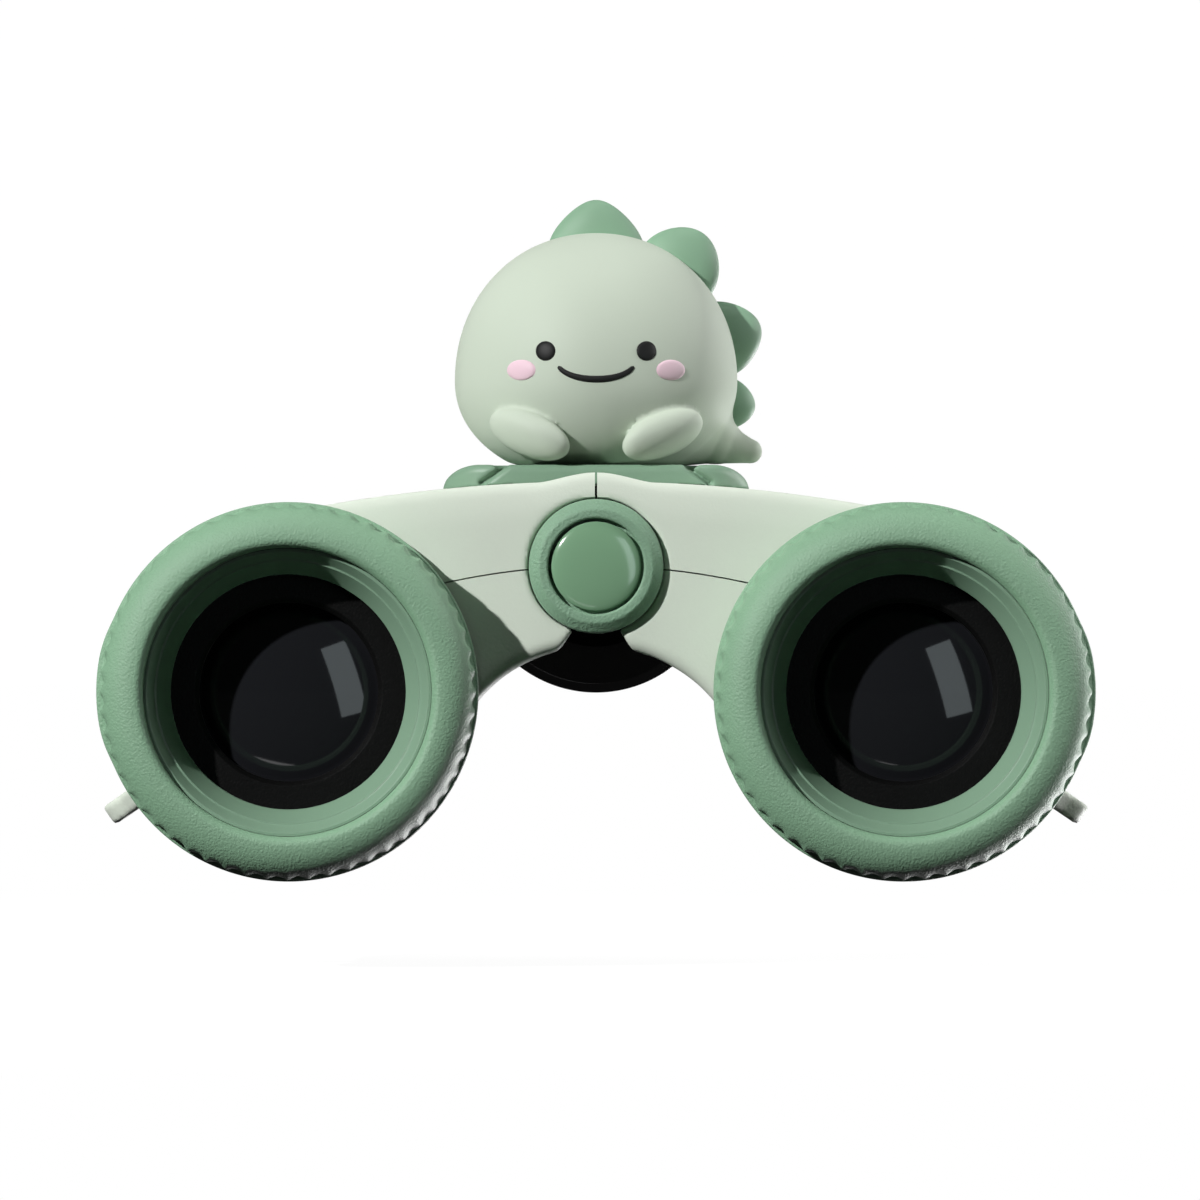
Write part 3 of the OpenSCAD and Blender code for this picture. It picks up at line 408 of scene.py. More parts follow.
WEB_LOW = 0.8
WEB_HIGH = 4.2
HINGE_GAP = 0.125
PARTING_GAP = 0.08
SHELL_STEP = 0.45
RISE = HINGE_Z - AXIS_Z
top_lift, top_blend = BRIDGE_TOP + RISE, BARREL_R - TOP_SINK
arch_lift, arch_blend = RISE - ARCH_DROP, BARREL_R - ARCH_SINK
TOP_R = (BARREL_X**2 + top_lift**2 - top_blend**2) / (2 * (top_lift - top_blend))
ARCH_R = (BARREL_X**2 + arch_lift**2 - arch_blend**2) / (2 * (arch_blend + arch_lift))


def beyond(x, h, centre_h):
    """How far a point lies past the line from an arc's centre on the hinge plane to the barrel's axis."""
    run = math.hypot(BARREL_X, -RISE - centre_h)
    return ((x - BARREL_X) * (-RISE - centre_h) - (h + RISE) * BARREL_X) / run


def housing(x, s, z):
    """Field of the right half before it is cut into shells."""
    h = z - HINGE_Z
    u, v = x - BARREL_X, z - AXIS_Z
    radius = np.hypot(u, v)
    tube = oval(radius - REAR_R, s - (S_BARREL_END - ROUND_L), BARREL_R - REAR_R, ROUND_L)
    barrel = round_max(tube, S_RING - s, SOFT_EDGE)
    top = np.hypot(x, h - BRIDGE_TOP + TOP_R) - TOP_R
    arch = ARCH_R - np.hypot(x, h + ARCH_DROP + ARCH_R)
    ends = np.maximum(beyond(x, h, BRIDGE_TOP - TOP_R), beyond(x, h, -ARCH_DROP - ARCH_R))
    hub = np.hypot(x, h)
    crown = round_min(top, hub - BOSS_R + BOSS_TAPER * np.maximum(-h, 0), BOSS_FILLET)
    middle = (S_ARM + S_ARM_END) / 2
    arm_depth = np.abs(s - middle) - (S_ARM_END - middle)
    boss_depth = np.abs(s - S_ARM - BOSS_HALF_L) - BOSS_HALF_L
    arm = round_max(np.maximum(round_max(top, arch, ARM_EDGE), ends), arm_depth, FACE_EDGE)
    boss = round_max(np.maximum(round_max(crown, arch, ARM_EDGE), ends), boss_depth, FACE_EDGE)
    bevel = (S_ARM - s) * math.cos(BEVEL_TILT) + (crown + BEVEL_W) * math.sin(BEVEL_TILT)
    bridge = round_max(np.minimum(arm, boss), bevel, BEVEL_EDGE)
    out = u * math.cos(LUG_TILT) - v * math.sin(LUG_TILT)
    thick = np.abs(u * math.sin(LUG_TILT) + v * math.cos(LUG_TILT)) - LUG_HALF
    eye = np.hypot(out - LUG_HOLE, s - LUG_S)
    root = (np.abs(s - LUG_S) - LUG_ROOT + (out - BARREL_R) * LUG_FLARE) / math.hypot(1, LUG_FLARE)
    plate = np.minimum(np.maximum(root, out - LUG_HOLE), eye - LUG_END_R)
    lug = round_max(np.maximum(plate, LUG_START - out), thick, LUG_EDGE)
    body = round_min(barrel, bridge, BARREL_FILLET)
    body = round_min(body, round_max(lug, LUG_EYE_R - eye, LUG_EYE_EDGE), SOFT_EDGE)
    cell_bore = np.maximum(radius - CELL_BORE_R, s - CELL_BORE_END)
    tube_bore = np.maximum(radius - TUBE_BORE_R, s - TUBE_BORE_END)
    body = round_max(body, -np.minimum(np.minimum(cell_bore, tube_bore), radius - REAR_BORE_R), SOFT_EDGE)
    body = round_max(body, POCKET_R - hub, POCKET_EDGE)
    body = round_max(body, -x * math.cos(MITRE) - (h + MITRE_DROP) * math.sin(MITRE), SOFT_EDGE)
    recess = np.maximum(np.maximum(x - RECESS_X, RECESS_S - s), RECESS_H - h)
    screw_at = np.hypot(x - SCREW_X, np.abs(s - SCREW_MID) - SCREW_APART)
    screw = np.maximum(screw_at - SCREW_BORE, h - SCREW_SEAT)
    return round_max(round_max(body, -recess, CUT_EDGE), -screw, CUT_EDGE)


shell_plastic = finish_of(
    "pale_moulded_plastic", (220, 228, 215), roughness=0.55, grain=0.3, depth=0.025,
    tint=0.03, specular=0.35,
)
half_low = (-1.2, S_RING - 1, 0)
half_high = (57, S_BARREL_END + 1, 47)
half_points, half_faces = skin(housing, half_low, half_high, SHELL_STEP)
half_points, half_faces = slice_off(half_points, half_faces, (-1, 0, 0), -HINGE_GAP)
drum_z = HINGE_Z - PARTING_R
turn_at = np.arctan2(half_points[:, 0], half_points[:, 2] - drum_z)
drum_r = np.hypot(half_points[:, 0], half_points[:, 2] - drum_z)
unrolled = np.stack([turn_at * PARTING_R, half_points[:, 1], drum_r], axis=1)
shells = {}
for name, direction, gap in (("upper", -1, PARTING_GAP), ("lower", 1, -PARTING_GAP)):
    level = direction * (PARTING_R + gap)
    flat_points, shell_faces = slice_off(unrolled, half_faces, (0, 0, direction), level)
    length, depth, reach = flat_points.T
    around = length / PARTING_R
    rolled = [reach * np.sin(around), depth, drum_z + reach * np.cos(around)]
    shells[name] = np.stack(rolled, axis=1), shell_faces
for side, sign in SIDES:
    s0, s1 = KNUCKLE_SPANS[side]
    knuckle_outline = rounded([
        (AXLE_BORE, s0, 0),
        (KNUCKLE_R, s0, KNUCKLE_EDGE),
        (KNUCKLE_R, s1, KNUCKLE_EDGE),
        (AXLE_BORE, s1, 0),
    ])
    knuckle = turn(knuckle_outline, 0, HINGE_Z, 64)
    web = blank_box(
        KNUCKLE_R - WEB_LAP, WEB_X, s0 + WEB_INSET, s1 - WEB_INSET, HINGE_Z + WEB_LOW, HINGE_Z + WEB_HIGH
    )
    place(f"{side}_top_moulding", joined(shells["upper"], knuckle, web), shell_plastic, f"{side}_half",
          [f"{side}_upper_shell"], sign)
    place(f"{side}_under_moulding", shells["lower"], shell_plastic, f"{side}_half",
          [f"{side}_lower_shell"], sign)
    finish_kept(f"{side}_objective_cell", shell_plastic)

# Shell screws: plain steel pan-head screws, driven up into the upper shell from counterbores under the arms.
# Two identical ones to a side, set out by a node group along a line of points.

steel = finish_of(
    "plain_steel", (176, 178, 180), roughness=0.32, grain=0.5, depth=0.004, metallic=1.0, tint=0.05
)
SCREW_HEAD_R = 2.0
SCREW_HEAD_H = 1.5
SCREW_HEAD_EDGE = 0.5
SCREW_SHANK_R = 1.0
SCREW_SHANK_L = 10.5
SCREW_TIP_EDGE = 0.3


def as_mesh(piece, modifier):
    """Replaces a piece's mesh by what its modifier makes of it."""
    depsgraph = bpy.context.evaluated_depsgraph_get()
    made = bpy.data.meshes.new_from_object(piece.evaluated_get(depsgraph))
    piece.modifiers.remove(modifier)
    piece.data = made
    made.name = piece.name


def group_on(piece, name, sockets):
    """Adds a geometry node group with named inputs to a piece, and returns its wires and its modifier."""
    tree = bpy.data.node_groups.new(name, "GeometryNodeTree")
    tree.interface.new_socket("Geometry", in_out="INPUT", socket_type="NodeSocketGeometry")
    keys = {}
    for label, kind, value in sockets:
        keys[label] = tree.interface.new_socket(label, in_out="INPUT", socket_type=kind).identifier, value
    tree.interface.new_socket("Geometry", in_out="OUTPUT", socket_type="NodeSocketGeometry")
    entry = tree.nodes.new("NodeGroupInput")
    modifier = piece.modifiers.new(name, "NODES")
    modifier.node_group = tree
    for identifier, value in keys.values():
        modifier[identifier] = value
    return {socket.name: Wire(tree, socket) for socket in entry.outputs if socket.name}, modifier


def pan_screw():
    """A pan-head screw that points up from the origin."""
    tip = SCREW_HEAD_H + SCREW_SHANK_L
    outline = rounded([
        (0, 0, 0),
        (SCREW_HEAD_R, 0, SCREW_HEAD_EDGE),
        (SCREW_HEAD_R, SCREW_HEAD_H, 0),
        (SCREW_SHANK_R, SCREW_HEAD_H, 0),
        (SCREW_SHANK_R, tip, SCREW_TIP_EDGE),
        (0, tip, 0),
    ])
    points, faces = turn(outline, 0, 0, 48)
    return points[:, [0, 2, 1]] * (1, -1, 1), faces


for side, sign in SIDES:
    head = place(f"{side}_pan_screws", pan_screw(), steel, f"{side}_half", [f"{side}_shell_screws"])
    first = sign * SCREW_X, SCREW_MID - SCREW_APART, HINGE_Z + SCREW_SEAT - SCREW_HEAD_H
    wires, modifier = group_on(head, "screw_row", [
        ("Count", "NodeSocketInt", 2),
        ("Start", "NodeSocketVector", tuple(value * MM for value in first)),
        ("Step", "NodeSocketVector", (0, 2 * SCREW_APART * MM, 0)),
        ("Material", "NodeSocketMaterial", steel),
    ])
    root = wires["Geometry"]
    row = root.make("GeometryNodeMeshLine", {"mode": "OFFSET"}, {
        "Count": wires["Count"], "Start Location": wires["Start"], "Offset": wires["Step"]})
    copies = root.make("GeometryNodeInstanceOnPoints", {}, {"Points": row, "Instance": root})
    solid = root.make("GeometryNodeRealizeInstances", {}, {"Geometry": copies})
    shown = root.make("GeometryNodeSetMaterial", {}, {"Geometry": solid, "Material": wires["Material"]})
    root.make("NodeGroupOutput", {}, {"Geometry": shown})
    as_mesh(head, modifier)

# Objective rings: soft green rubber with a pebbled surface, stretched over the objective cells. The round
# shoulder has 56 shallow scoops, and the smooth rear rim swells a little on the outer side for the thumb.

rubber = finish_of(
    "pebbled_rubber", (134, 174, 142), roughness=0.6, grain=0.19, depth=0.1,
    pebble=0.5, tint=0.12, specular=0.7,
)


def arc(r, s, half_r, half_s, start, end, steps):
    """Points along an ellipse, as (radius, depth)."""
    turns = [math.radians(start + (end - start) * i / steps) for i in range(steps + 1)]
    return [(r + half_r * math.cos(t), s + half_s * math.sin(t)) for t in turns]


RING_R = 20.72
CREST_R = 16.9
CREST_L = 4.2
LIP_R = 1.0
LIP_L = 1.3
SEAT_R = 17.5
SEAT_S = 2.4
RIM_R = 21.0
RIM_S = 10.0
RIM_EDGE = 0.5
RIM_ROOT = 0.3
RIM_SLOPE = 0.05
WALL_BACK = 0.3
WALL_FRONT = 0.4
FLUTES = 56.0
FLUTE_DEPTH = 0.42
SCOOP_POWER = 0.7
THUMB_SWELL = 0.29
FLUTE_FRONT = (1.2, 4.2)
FLUTE_BACK = (9.9, 9.6)
OUTER_FADE = (18.6, 20.2)
RIM_FADE = (9.75, 10.1)
THUMB_ARC = (24, 9)


def ring_outline():
    """From the seat at the back over the rim and the shoulder to the lip that covers the bezel's edge."""
    shoulder = arc(CREST_R, CREST_L, RING_R - CREST_R, -CREST_L, 0, 90, 22)
    inner = arc(CREST_R, LIP_L, -LIP_R, -LIP_L, 90, 0, 14)
    wall = [(RING_R, s) for s in np.linspace(RIM_S - WALL_BACK, CREST_L + WALL_FRONT, 12)]
    rim = rounded([
        (SEAT_R, S_RING, 0),
        (RIM_R, S_RING, RIM_EDGE),
        (RIM_R, RIM_S, RIM_ROOT),
        (RING_R, RIM_S - RIM_SLOPE, 0),
    ])
    return rim[:-1] + wall + shoulder + inner[1:] + [(CREST_R - LIP_R, SEAT_S), (SEAT_R, SEAT_S)]


def ramp(value, low, high, start=0.0, end=1.0):
    """A smooth step over a span of values."""
    span = {"From Min": low, "From Max": high, "To Min": start, "To Max": end}
    return value.make("ShaderNodeMapRange", {"interpolation_type": "SMOOTHSTEP"}, {"Value": value, **span})


for side, sign in SIDES:
    x = sign * BARREL_X
    ring = place(f"{side}_fluted_ring", turn(ring_outline(), x, AXIS_Z, 896), rubber, f"{side}_half",
                 [f"{side}_objective_ring"])
    wires, modifier = group_on(ring, "flutes", [
        ("Flutes", "NodeSocketFloat", FLUTES),
        ("Depth", "NodeSocketFloat", FLUTE_DEPTH * MM),
        ("Swell", "NodeSocketFloat", THUMB_SWELL * MM),
        ("Axis X", "NodeSocketFloat", x * MM),
        ("Axis Z", "NodeSocketFloat", AXIS_Z * MM),
        ("Front", "NodeSocketFloat", FRONT * MM),
        ("Outside", "NodeSocketFloat", float(sign)),
        ("Material", "NodeSocketMaterial", rubber),
    ])
    root = wires["Geometry"]
    position = root.make("GeometryNodeInputPosition", {}, {})
    parts = root.make("ShaderNodeSeparateXYZ", {}, {"Vector": position})
    axes = [Wire(parts.tree, socket) for socket in parts.socket.node.outputs]
    across, up = axes[0] - wires["Axis X"], axes[2] - wires["Axis Z"]
    depth = (axes[1] - wires["Front"]) / MM
    radius = root.math("SQRT", across * across + up * up)
    angle = root.math("ARCTAN2", up, across)
    scoop = root.math("POWER", 0.5 - 0.5 * root.math("COSINE", angle * wires["Flutes"]), SCOOP_POWER)
    outer = ramp(radius / MM, *OUTER_FADE)
    fluted = ramp(depth, *FLUTE_FRONT) * ramp(depth, *FLUTE_BACK) * outer
    beside = ramp(across * wires["Outside"] / radius, *[math.cos(math.radians(a)) for a in THUMB_ARC])
    shift = beside * wires["Swell"] * ramp(depth, *RIM_FADE) * outer - scoop * wires["Depth"] * fluted
    scaled = shift / radius
    offset = root.make("ShaderNodeCombineXYZ", {}, {"X": across * scaled, "Z": up * scaled})
    moved = root.make("GeometryNodeSetPosition", {}, {"Geometry": root, "Offset": offset})
    shown = root.make("GeometryNodeSetMaterial", {}, {"Geometry": moved, "Material": wires["Material"]})
    root.make("NodeGroupOutput", {}, {"Geometry": shown})
    as_mesh(ring, modifier)

# Objectives: a stepped satin bezel inside each ring, a black textured retainer pressed in behind it, and a
# convex plastic lens that the retainer holds by its flange. The lens is opaque: its dark colour is painted
# shade for the dark tube seen through it, under a real gloss. The black tube behind it is the CAD piece.

sage_plastic = finish_of(
    "satin_sage_plastic", (130, 162, 137), roughness=0.46, grain=0.3, depth=0.012, tint=0.04
)
black_plastic = finish_of(
    "black_grained_plastic", (12, 12, 12), roughness=0.5, grain=0.25, depth=0.08, tint=0.8, specular=0.08
)
# Opaque dark lens colour: painted shade for the dark inside of the tube seen through the lens; its gloss is
# real.
lens_painted_shade = finish_of(
    "opaque_lens_painted_dark_inside", (29, 30, 33), roughness=0.05, grain=2.0, depth=0.0005, tint=0.02, specular=0.3
)
BEZEL_R = 15.85
BEZEL_LIP_R = 15.5
BEZEL_STEP_R = 14.65
BEZEL_LEDGE_R = 14.45
BEZEL_OPENING_R = 13.0
BEZEL_FRONT = 1.9
BEZEL_STEP_S = 3.5
BEZEL_NECK_S = 6.9
BEZEL_END = 9.0
RETAINER_R = 15.95
WINDOW_R = 9.9
WINDOW_CHAMFER = 0.5
FLANGE_BORE_R = 11.05
FLANGE_R = 11.0
FLANGE_S = 11.2
FLANGE_END = 13.0
DOME_HALF_W = 9.85
DOME_TOP = 9.2
DOME_LEDGE = 0.02
bezel_outline = rounded([
    (BEZEL_R, BEZEL_FRONT, 0),
    (BEZEL_LIP_R, BEZEL_FRONT, 0.15),
    (BEZEL_STEP_R, BEZEL_STEP_S, 0.2),
    (BEZEL_LEDGE_R, BEZEL_STEP_S, 0.1),
    (BEZEL_OPENING_R, BEZEL_NECK_S, 0.35),
    (BEZEL_OPENING_R, BEZEL_END, 0),
    (BEZEL_R, BEZEL_END, 0),
])
retainer_outline = rounded([
    (WINDOW_R + WINDOW_CHAMFER, BEZEL_END, 0.15),
    (RETAINER_R, BEZEL_END, 0),
    (RETAINER_R, FLANGE_END, 0),
    (FLANGE_BORE_R, FLANGE_END, 0),
    (FLANGE_BORE_R, FLANGE_S, 0),
    (WINDOW_R, FLANGE_S, 0),
    (WINDOW_R, BEZEL_END + WINDOW_CHAMFER, 0.1),
])
dome_h = FLANGE_S - DOME_TOP
dome_r = (DOME_HALF_W**2 + dome_h**2) / (2 * dome_h)
half_angle = math.degrees(math.asin(DOME_HALF_W / dome_r))
lens_dome = arc(0, DOME_TOP + dome_r, dome_r, dome_r, half_angle - 90, -90, 24)
lens_outline = [(0, FLANGE_END), (FLANGE_R, FLANGE_END), (FLANGE_R, FLANGE_S)]
lens_outline += [(DOME_HALF_W + DOME_LEDGE, FLANGE_S)] + lens_dome[:-1] + [(0, DOME_TOP)]
for side, sign in SIDES:
    x = sign * BARREL_X
    body = f"{side}_half"
    place(f"{side}_stepped_bezel", turn(bezel_outline, x, AXIS_Z, 160), sage_plastic, body,
          [f"{side}_bezel"], crease=35)
    place(f"{side}_black_retainer", turn(retainer_outline, x, AXIS_Z, 160), black_plastic, body,
          [f"{side}_lens_retainer"], crease=35)
    place(f"{side}_convex_lens", turn(lens_outline, x, AXIS_Z, 160), lens_painted_shade, body,
          [f"{side}_objective_lens"], crease=35)
    finish_kept(f"{side}_optical_tube", black_plastic)

# Eyepieces: a black tube that slides in each barrel, with a concave lens held by a ring, a rubber cup over
# its end and an arm to the focus spindle. Tube, lens, ring and arm are the CAD pieces.

CUP_BORE_R = 12.0
CUP_STOP_R = 9.6
CUP_ROOT_R = 13.6
CUP_RIM_R = 16.3
CUP_MOUTH_R = 14.1
CUP_FRONT = 65.9
CUP_STOP_S = 74.6
CUP_END = 88.85
cup_outline = rounded([
    (CUP_BORE_R, CUP_STOP_S, 0),
    (CUP_BORE_R, CUP_FRONT, 0),
    (CUP_ROOT_R, CUP_FRONT, 0.5),
    (13.9, 70, 3),
    (14.9, 80, 6),
    (CUP_RIM_R, 86.5, 2),
    (CUP_RIM_R, CUP_END, 1.0),
    (CUP_MOUTH_R, CUP_END, 0.9),
    (13.2, 84, 4),
    (11.2, 77.8, 0.8),
    (CUP_STOP_R, 76.2, 0),
    (CUP_STOP_R, CUP_STOP_S, 0),
])
for side, sign in SIDES:
    place(f"{side}_rubber_cup", turn(cup_outline, sign * BARREL_X, AXIS_Z, 128), rubber, f"{side}_eyepiece",
          [f"{side}_eyecup"], crease=40)
    for node in ("eyepiece_tube", "eye_lens_ring", "focus_arm"):
        finish_kept(f"{side}_{node}", black_plastic)
    # The eye lenses take the same opaque dark colour, painted shade for the tube behind them.
    finish_kept(f"{side}_eye_lens", lens_painted_shade)

# Hinge: axle, washers, the centre frame's sleeve and the cap's screw are the CAD pieces, out of sight. The
# cap is pebbled like the rings, with a bevelled edge, and a glossy domed badge is pressed into its well.

nylon = finish_of("white_nylon", (226, 226, 220), roughness=0.5, grain=0.5, depth=0.01, tint=0.03)
gloss_green = finish_of(
    "gloss_green_plastic", (130, 170, 136), roughness=0.16, grain=3.0, depth=0.001, coat=0.3, tint=0.02
)
cap_rubber = finish_of(
    "coarse_pebbled_rubber", (134, 170, 142), roughness=0.5, grain=0.2, depth=0.14,
    pebble=0.4, tint=0.3, specular=0.4,
)
finish_kept("centre_frame", black_plastic)
finish_kept("hinge_axle", steel)
finish_kept("hinge_washers", nylon)
finish_kept("hinge_screw", steel)
CAP_R = 7.45
CAP_FACE_R = 6.3
CAP_WELL_R = 5.3
CAP_SPIGOT_R = 4.09
CAP_SINK_R = 2.1
CAP_HOLE_R = 1.1
CAP_FACE = 10.7
CAP_BEVEL_S = 11.7
CAP_WELL_S = 12.0
CAP_SINK_S = 12.5
CAP_BACK = 13.0
CAP_SPIGOT_END = 15.0
BADGE_R = 4.95
BADGE_EDGE_S = 11.3
BADGE_CROWN = 0.85
cap_outline = rounded([
    (CAP_WELL_R, CAP_FACE, 0.3),
    (CAP_FACE_R, CAP_FACE, 0.5),
    (CAP_R, CAP_BEVEL_S, 0.7),
    (CAP_R, CAP_BACK, 0.2),
    (CAP_SPIGOT_R, CAP_BACK, 0),
    (CAP_SPIGOT_R, CAP_SPIGOT_END, 0),
    (CAP_HOLE_R, CAP_SPIGOT_END, 0),
    (CAP_HOLE_R, CAP_SINK_S, 0),
    (CAP_SINK_R, CAP_SINK_S, 0),
    (CAP_SINK_R, CAP_WELL_S, 0),
    (CAP_WELL_R, CAP_WELL_S, 0),
])
place("pebbled_cap", turn(cap_outline, 0, HINGE_Z, 128), cap_rubber, "centre", ["hinge_cap"],
      crease=40)
badge_dome = arc(0, BADGE_EDGE_S, BADGE_R, -BADGE_CROWN, 4, 90, 24)
badge_outline = [(0, CAP_WELL_S), (BADGE_R, CAP_WELL_S), (BADGE_R, BADGE_EDGE_S)]
badge_outline += badge_dome[:-1] + [(0, BADGE_EDGE_S - BADGE_CROWN)]
place("domed_badge", turn(badge_outline, 0, HINGE_Z, 128), gloss_green, "centre", ["cap_badge"],
      crease=60)

# Focus wheel: glossy black plastic behind the bridge, with 40 ribs between two smooth rims. The ribs are one
# bar that a node group repeats round the axis. The clip, spindle and nut are the CAD pieces.

gloss_black = finish_of(
    "gloss_black_plastic", (10, 10, 10), roughness=0.2, grain=2.0, depth=0.002, coat=0.3, tint=0.1
)
S_WHEEL = 46.5
S_WHEEL_END = 55.5
S_WHEEL_CHAMFER = 47.4
S_DISH = 50.5
WHEEL_R = 14.2
WHEEL_FACE_R = 13.2
WHEEL_SEAT_R = 13.5
DISH_R = 11.0
WHEEL_BOSS_R = 5.5
WHEEL_BORE_R = 2.06
HUB_R = 4.5
S_HUB = 41.4
CLIP_R = 3.7
S_CLIP = 42.15
S_CLIP_END = 43.05
RIBS = 40
RIB_R = 14.1
RIB_ROOT_R = 13.3
RIB_HALF_W = 0.45
RIB_LAP = 0.1
S_RIB = 48.1
S_RIB_END = 53.9
wheel_outline = rounded([
    (WHEEL_BORE_R, S_HUB, 0),
    (HUB_R, S_HUB, 0.2),
    (HUB_R, S_CLIP, 0),
    (CLIP_R, S_CLIP, 0),
    (CLIP_R, S_CLIP_END, 0),
    (HUB_R, S_CLIP_END, 0),
    (HUB_R, S_WHEEL, 0),
    (WHEEL_FACE_R, S_WHEEL, 0.2),
    (WHEEL_R, S_WHEEL_CHAMFER, 0.2),
    (WHEEL_R, S_RIB, 0.15),
    (WHEEL_SEAT_R, S_RIB, 0),
    (WHEEL_SEAT_R, S_RIB_END, 0),
    (WHEEL_R, S_RIB_END, 0.15),
    (WHEEL_R, S_WHEEL_END, 0.9),
    (DISH_R, S_WHEEL_END, 0.3),
    (DISH_R, S_DISH, 0.4),
    (WHEEL_BOSS_R, S_DISH, 0.4),
    (WHEEL_BOSS_R, S_WHEEL_END, 0.2),
    (WHEEL_BORE_R, S_WHEEL_END, 0),
])
place("wheel_rims", turn(wheel_outline, 0, HINGE_Z, 192), gloss_black, "wheel", ["focus_wheel"],
      crease=40)
rib = joined(blank_box(RIB_ROOT_R, RIB_R, S_RIB - RIB_LAP, S_RIB_END + RIB_LAP, -RIB_HALF_W, RIB_HALF_W))
ribs = place("wheel_ribs", rib, gloss_black, "wheel", ["focus_wheel"])
wires, modifier = group_on(ribs, "rib_ring", [
    ("Count", "NodeSocketInt", RIBS),
    ("Height", "NodeSocketFloat", HINGE_Z * MM),
    ("Material", "NodeSocketMaterial", gloss_black),
])
root = wires["Geometry"]
row = root.make("GeometryNodePoints", {}, {"Count": wires["Count"]})
number = root.make("GeometryNodeInputIndex", {}, {})
spin = root.make("ShaderNodeCombineXYZ", {}, {"Y": number * (2 * math.pi) / wires["Count"]})
copies = root.make("GeometryNodeInstanceOnPoints", {}, {"Points": row, "Instance": root, "Rotation": spin})
solid = root.make("GeometryNodeRealizeInstances", {}, {"Geometry": copies})
lift = root.make("ShaderNodeCombineXYZ", {}, {"Z": wires["Height"]})
raised = root.make("GeometryNodeSetPosition", {}, {"Geometry": solid, "Offset": lift})
shown = root.make("GeometryNodeSetMaterial", {}, {"Geometry": raised, "Material": wires["Material"]})
root.make("NodeGroupOutput", {}, {"Geometry": shown})
as_mesh(ribs, modifier)
finish_kept("wheel_clip", steel)
finish_kept("focus_spindle", steel)
finish_kept("spindle_nut", black_plastic)

# Saddle: a satin seat on the centre frame, hollowed below to clear the arms, with round shoulders and a soft
# crease on each side. The figure's screws, which pass up through it, are the CAD pieces.

SADDLE_FLAT_X = 12.9
SHOULDER_W = 4.4
CORNER_X = 10.3
CORNER_S = 6.5
SADDLE_EDGE = 0.9
SADDLE_GAP = 0.03
SADDLE_HEM = 0.05
SINK_DEPTH = 0.5
SINK_X = 9.2
SINK_RAMP = 0.3
SADDLE_STEP = 0.2
CREASE_END = 30
CREASE_FADE = 4
S_SADDLE = 17.3
SADDLE_MID = 30.8
SADDLE_TOP = 11.3
SHOULDER_R = 3.4
CORNER_R = 7.15
CREASE_X = 10.2
CREASE_H = 11.0
CREASE_RUN = 2.45
CREASE_FALL = 1.7
CREASE_DEPTH = 0.8
CREASE_W = 0.32


def saddle(x, s, z):
    """Field of the seat, with a crease down each round shoulder, and sunk over the centre frame."""
    h = z - HINGE_Z
    across = np.abs(x)
    form = oval(across - SADDLE_FLAT_X, h - SADDLE_TOP + SHOULDER_R, SHOULDER_W, SHOULDER_R)
    past_x = np.maximum(across - CORNER_X, 0)
    past_s = np.maximum(np.abs(s - SADDLE_MID) - CORNER_S, 0)
    form = round_max(form, np.hypot(past_x, past_s) - CORNER_R, SADDLE_EDGE)
    right, up = across - CREASE_X, h - CREASE_H
    t = np.clip((right * CREASE_RUN - up * CREASE_FALL) / (CREASE_RUN**2 + CREASE_FALL**2), 0, 1)
    crease = np.hypot(right - CREASE_RUN * t, np.where(up > 0, 0, up + CREASE_FALL * t))
    fade = np.clip((CREASE_END - s) / CREASE_FADE, 0, 1)
    form = form + CREASE_DEPTH * np.exp(-((crease / CREASE_W) ** 2)) * fade
    sunk = SINK_DEPTH * np.clip((SINK_X - across) / SINK_RAMP, 0, 1)
    return round_max(form, TOP_R + SADDLE_GAP - sunk - np.hypot(x, h - BRIDGE_TOP + TOP_R), SADDLE_HEM)


saddle_low = (-19, S_SADDLE - 1, HINGE_Z + 5)
saddle_high = (19, 45.5, HINGE_Z + 13)
place("round_saddle", skin(saddle, saddle_low, saddle_high, SADDLE_STEP), sage_plastic, "centre", ["saddle"],
      crease=70)
finish_kept("dino_screws", steel)

# Figure: a plump dinosaur, moulded in one with its tail and paws in pale satin plastic. Four puffy crest
# plates are set into its back, and a plain face of two dots, a smile and two blush spots is printed in
# raised enamel.

figure_pale = finish_of(
    "figure_satin", (200, 211, 195), roughness=0.6, grain=0.14, depth=0.008, tint=0.02, specular=0.35
)
figure_green = finish_of(
    "figure_green_satin", (138, 175, 146), roughness=0.55, grain=0.14, depth=0.008, tint=0.03, specular=0.4
)
enamel_black = finish_of(
    "black_enamel", (24, 24, 24), roughness=0.55, grain=1.0, depth=0.001, tint=0.05, specular=0.25
)
enamel_blush = finish_of(
    "blush_enamel", (236, 207, 218), roughness=0.5, grain=1.0, depth=0.001, tint=0.03, specular=0.3
)
FIGURE_Z = HINGE_Z + SADDLE_TOP
BELLY_R = 15.8
BELLY_H = 9.4
CROWN_H = 16.6
UNDER_H = 11.31
FULL = 2.08
PAW_X = 7.4
PAW_Y = -12.4
PAW_H = 3.35
PAW_HALF_L = 5.7
PAW_R = 2.45
PAW_LEAN = 0.45
PAW_SWING = math.radians(40)
PAW_DIP = math.radians(18)
TAIL_ROOT = (8.4, 2, 5.2)
TAIL_BEND = (13.6, 2, 2.6)
TAIL_TIP = (17.2, 2, 1.6)
TAIL_ROOT_R = 5.0
TAIL_BEND_R = 2.55
TAIL_TIP_R = 1.4
TAIL_FILLET = 2.6
PAW_FILLET = 0.4
FOOT_EDGE = 0.5
FIGURE_STEP = 0.36


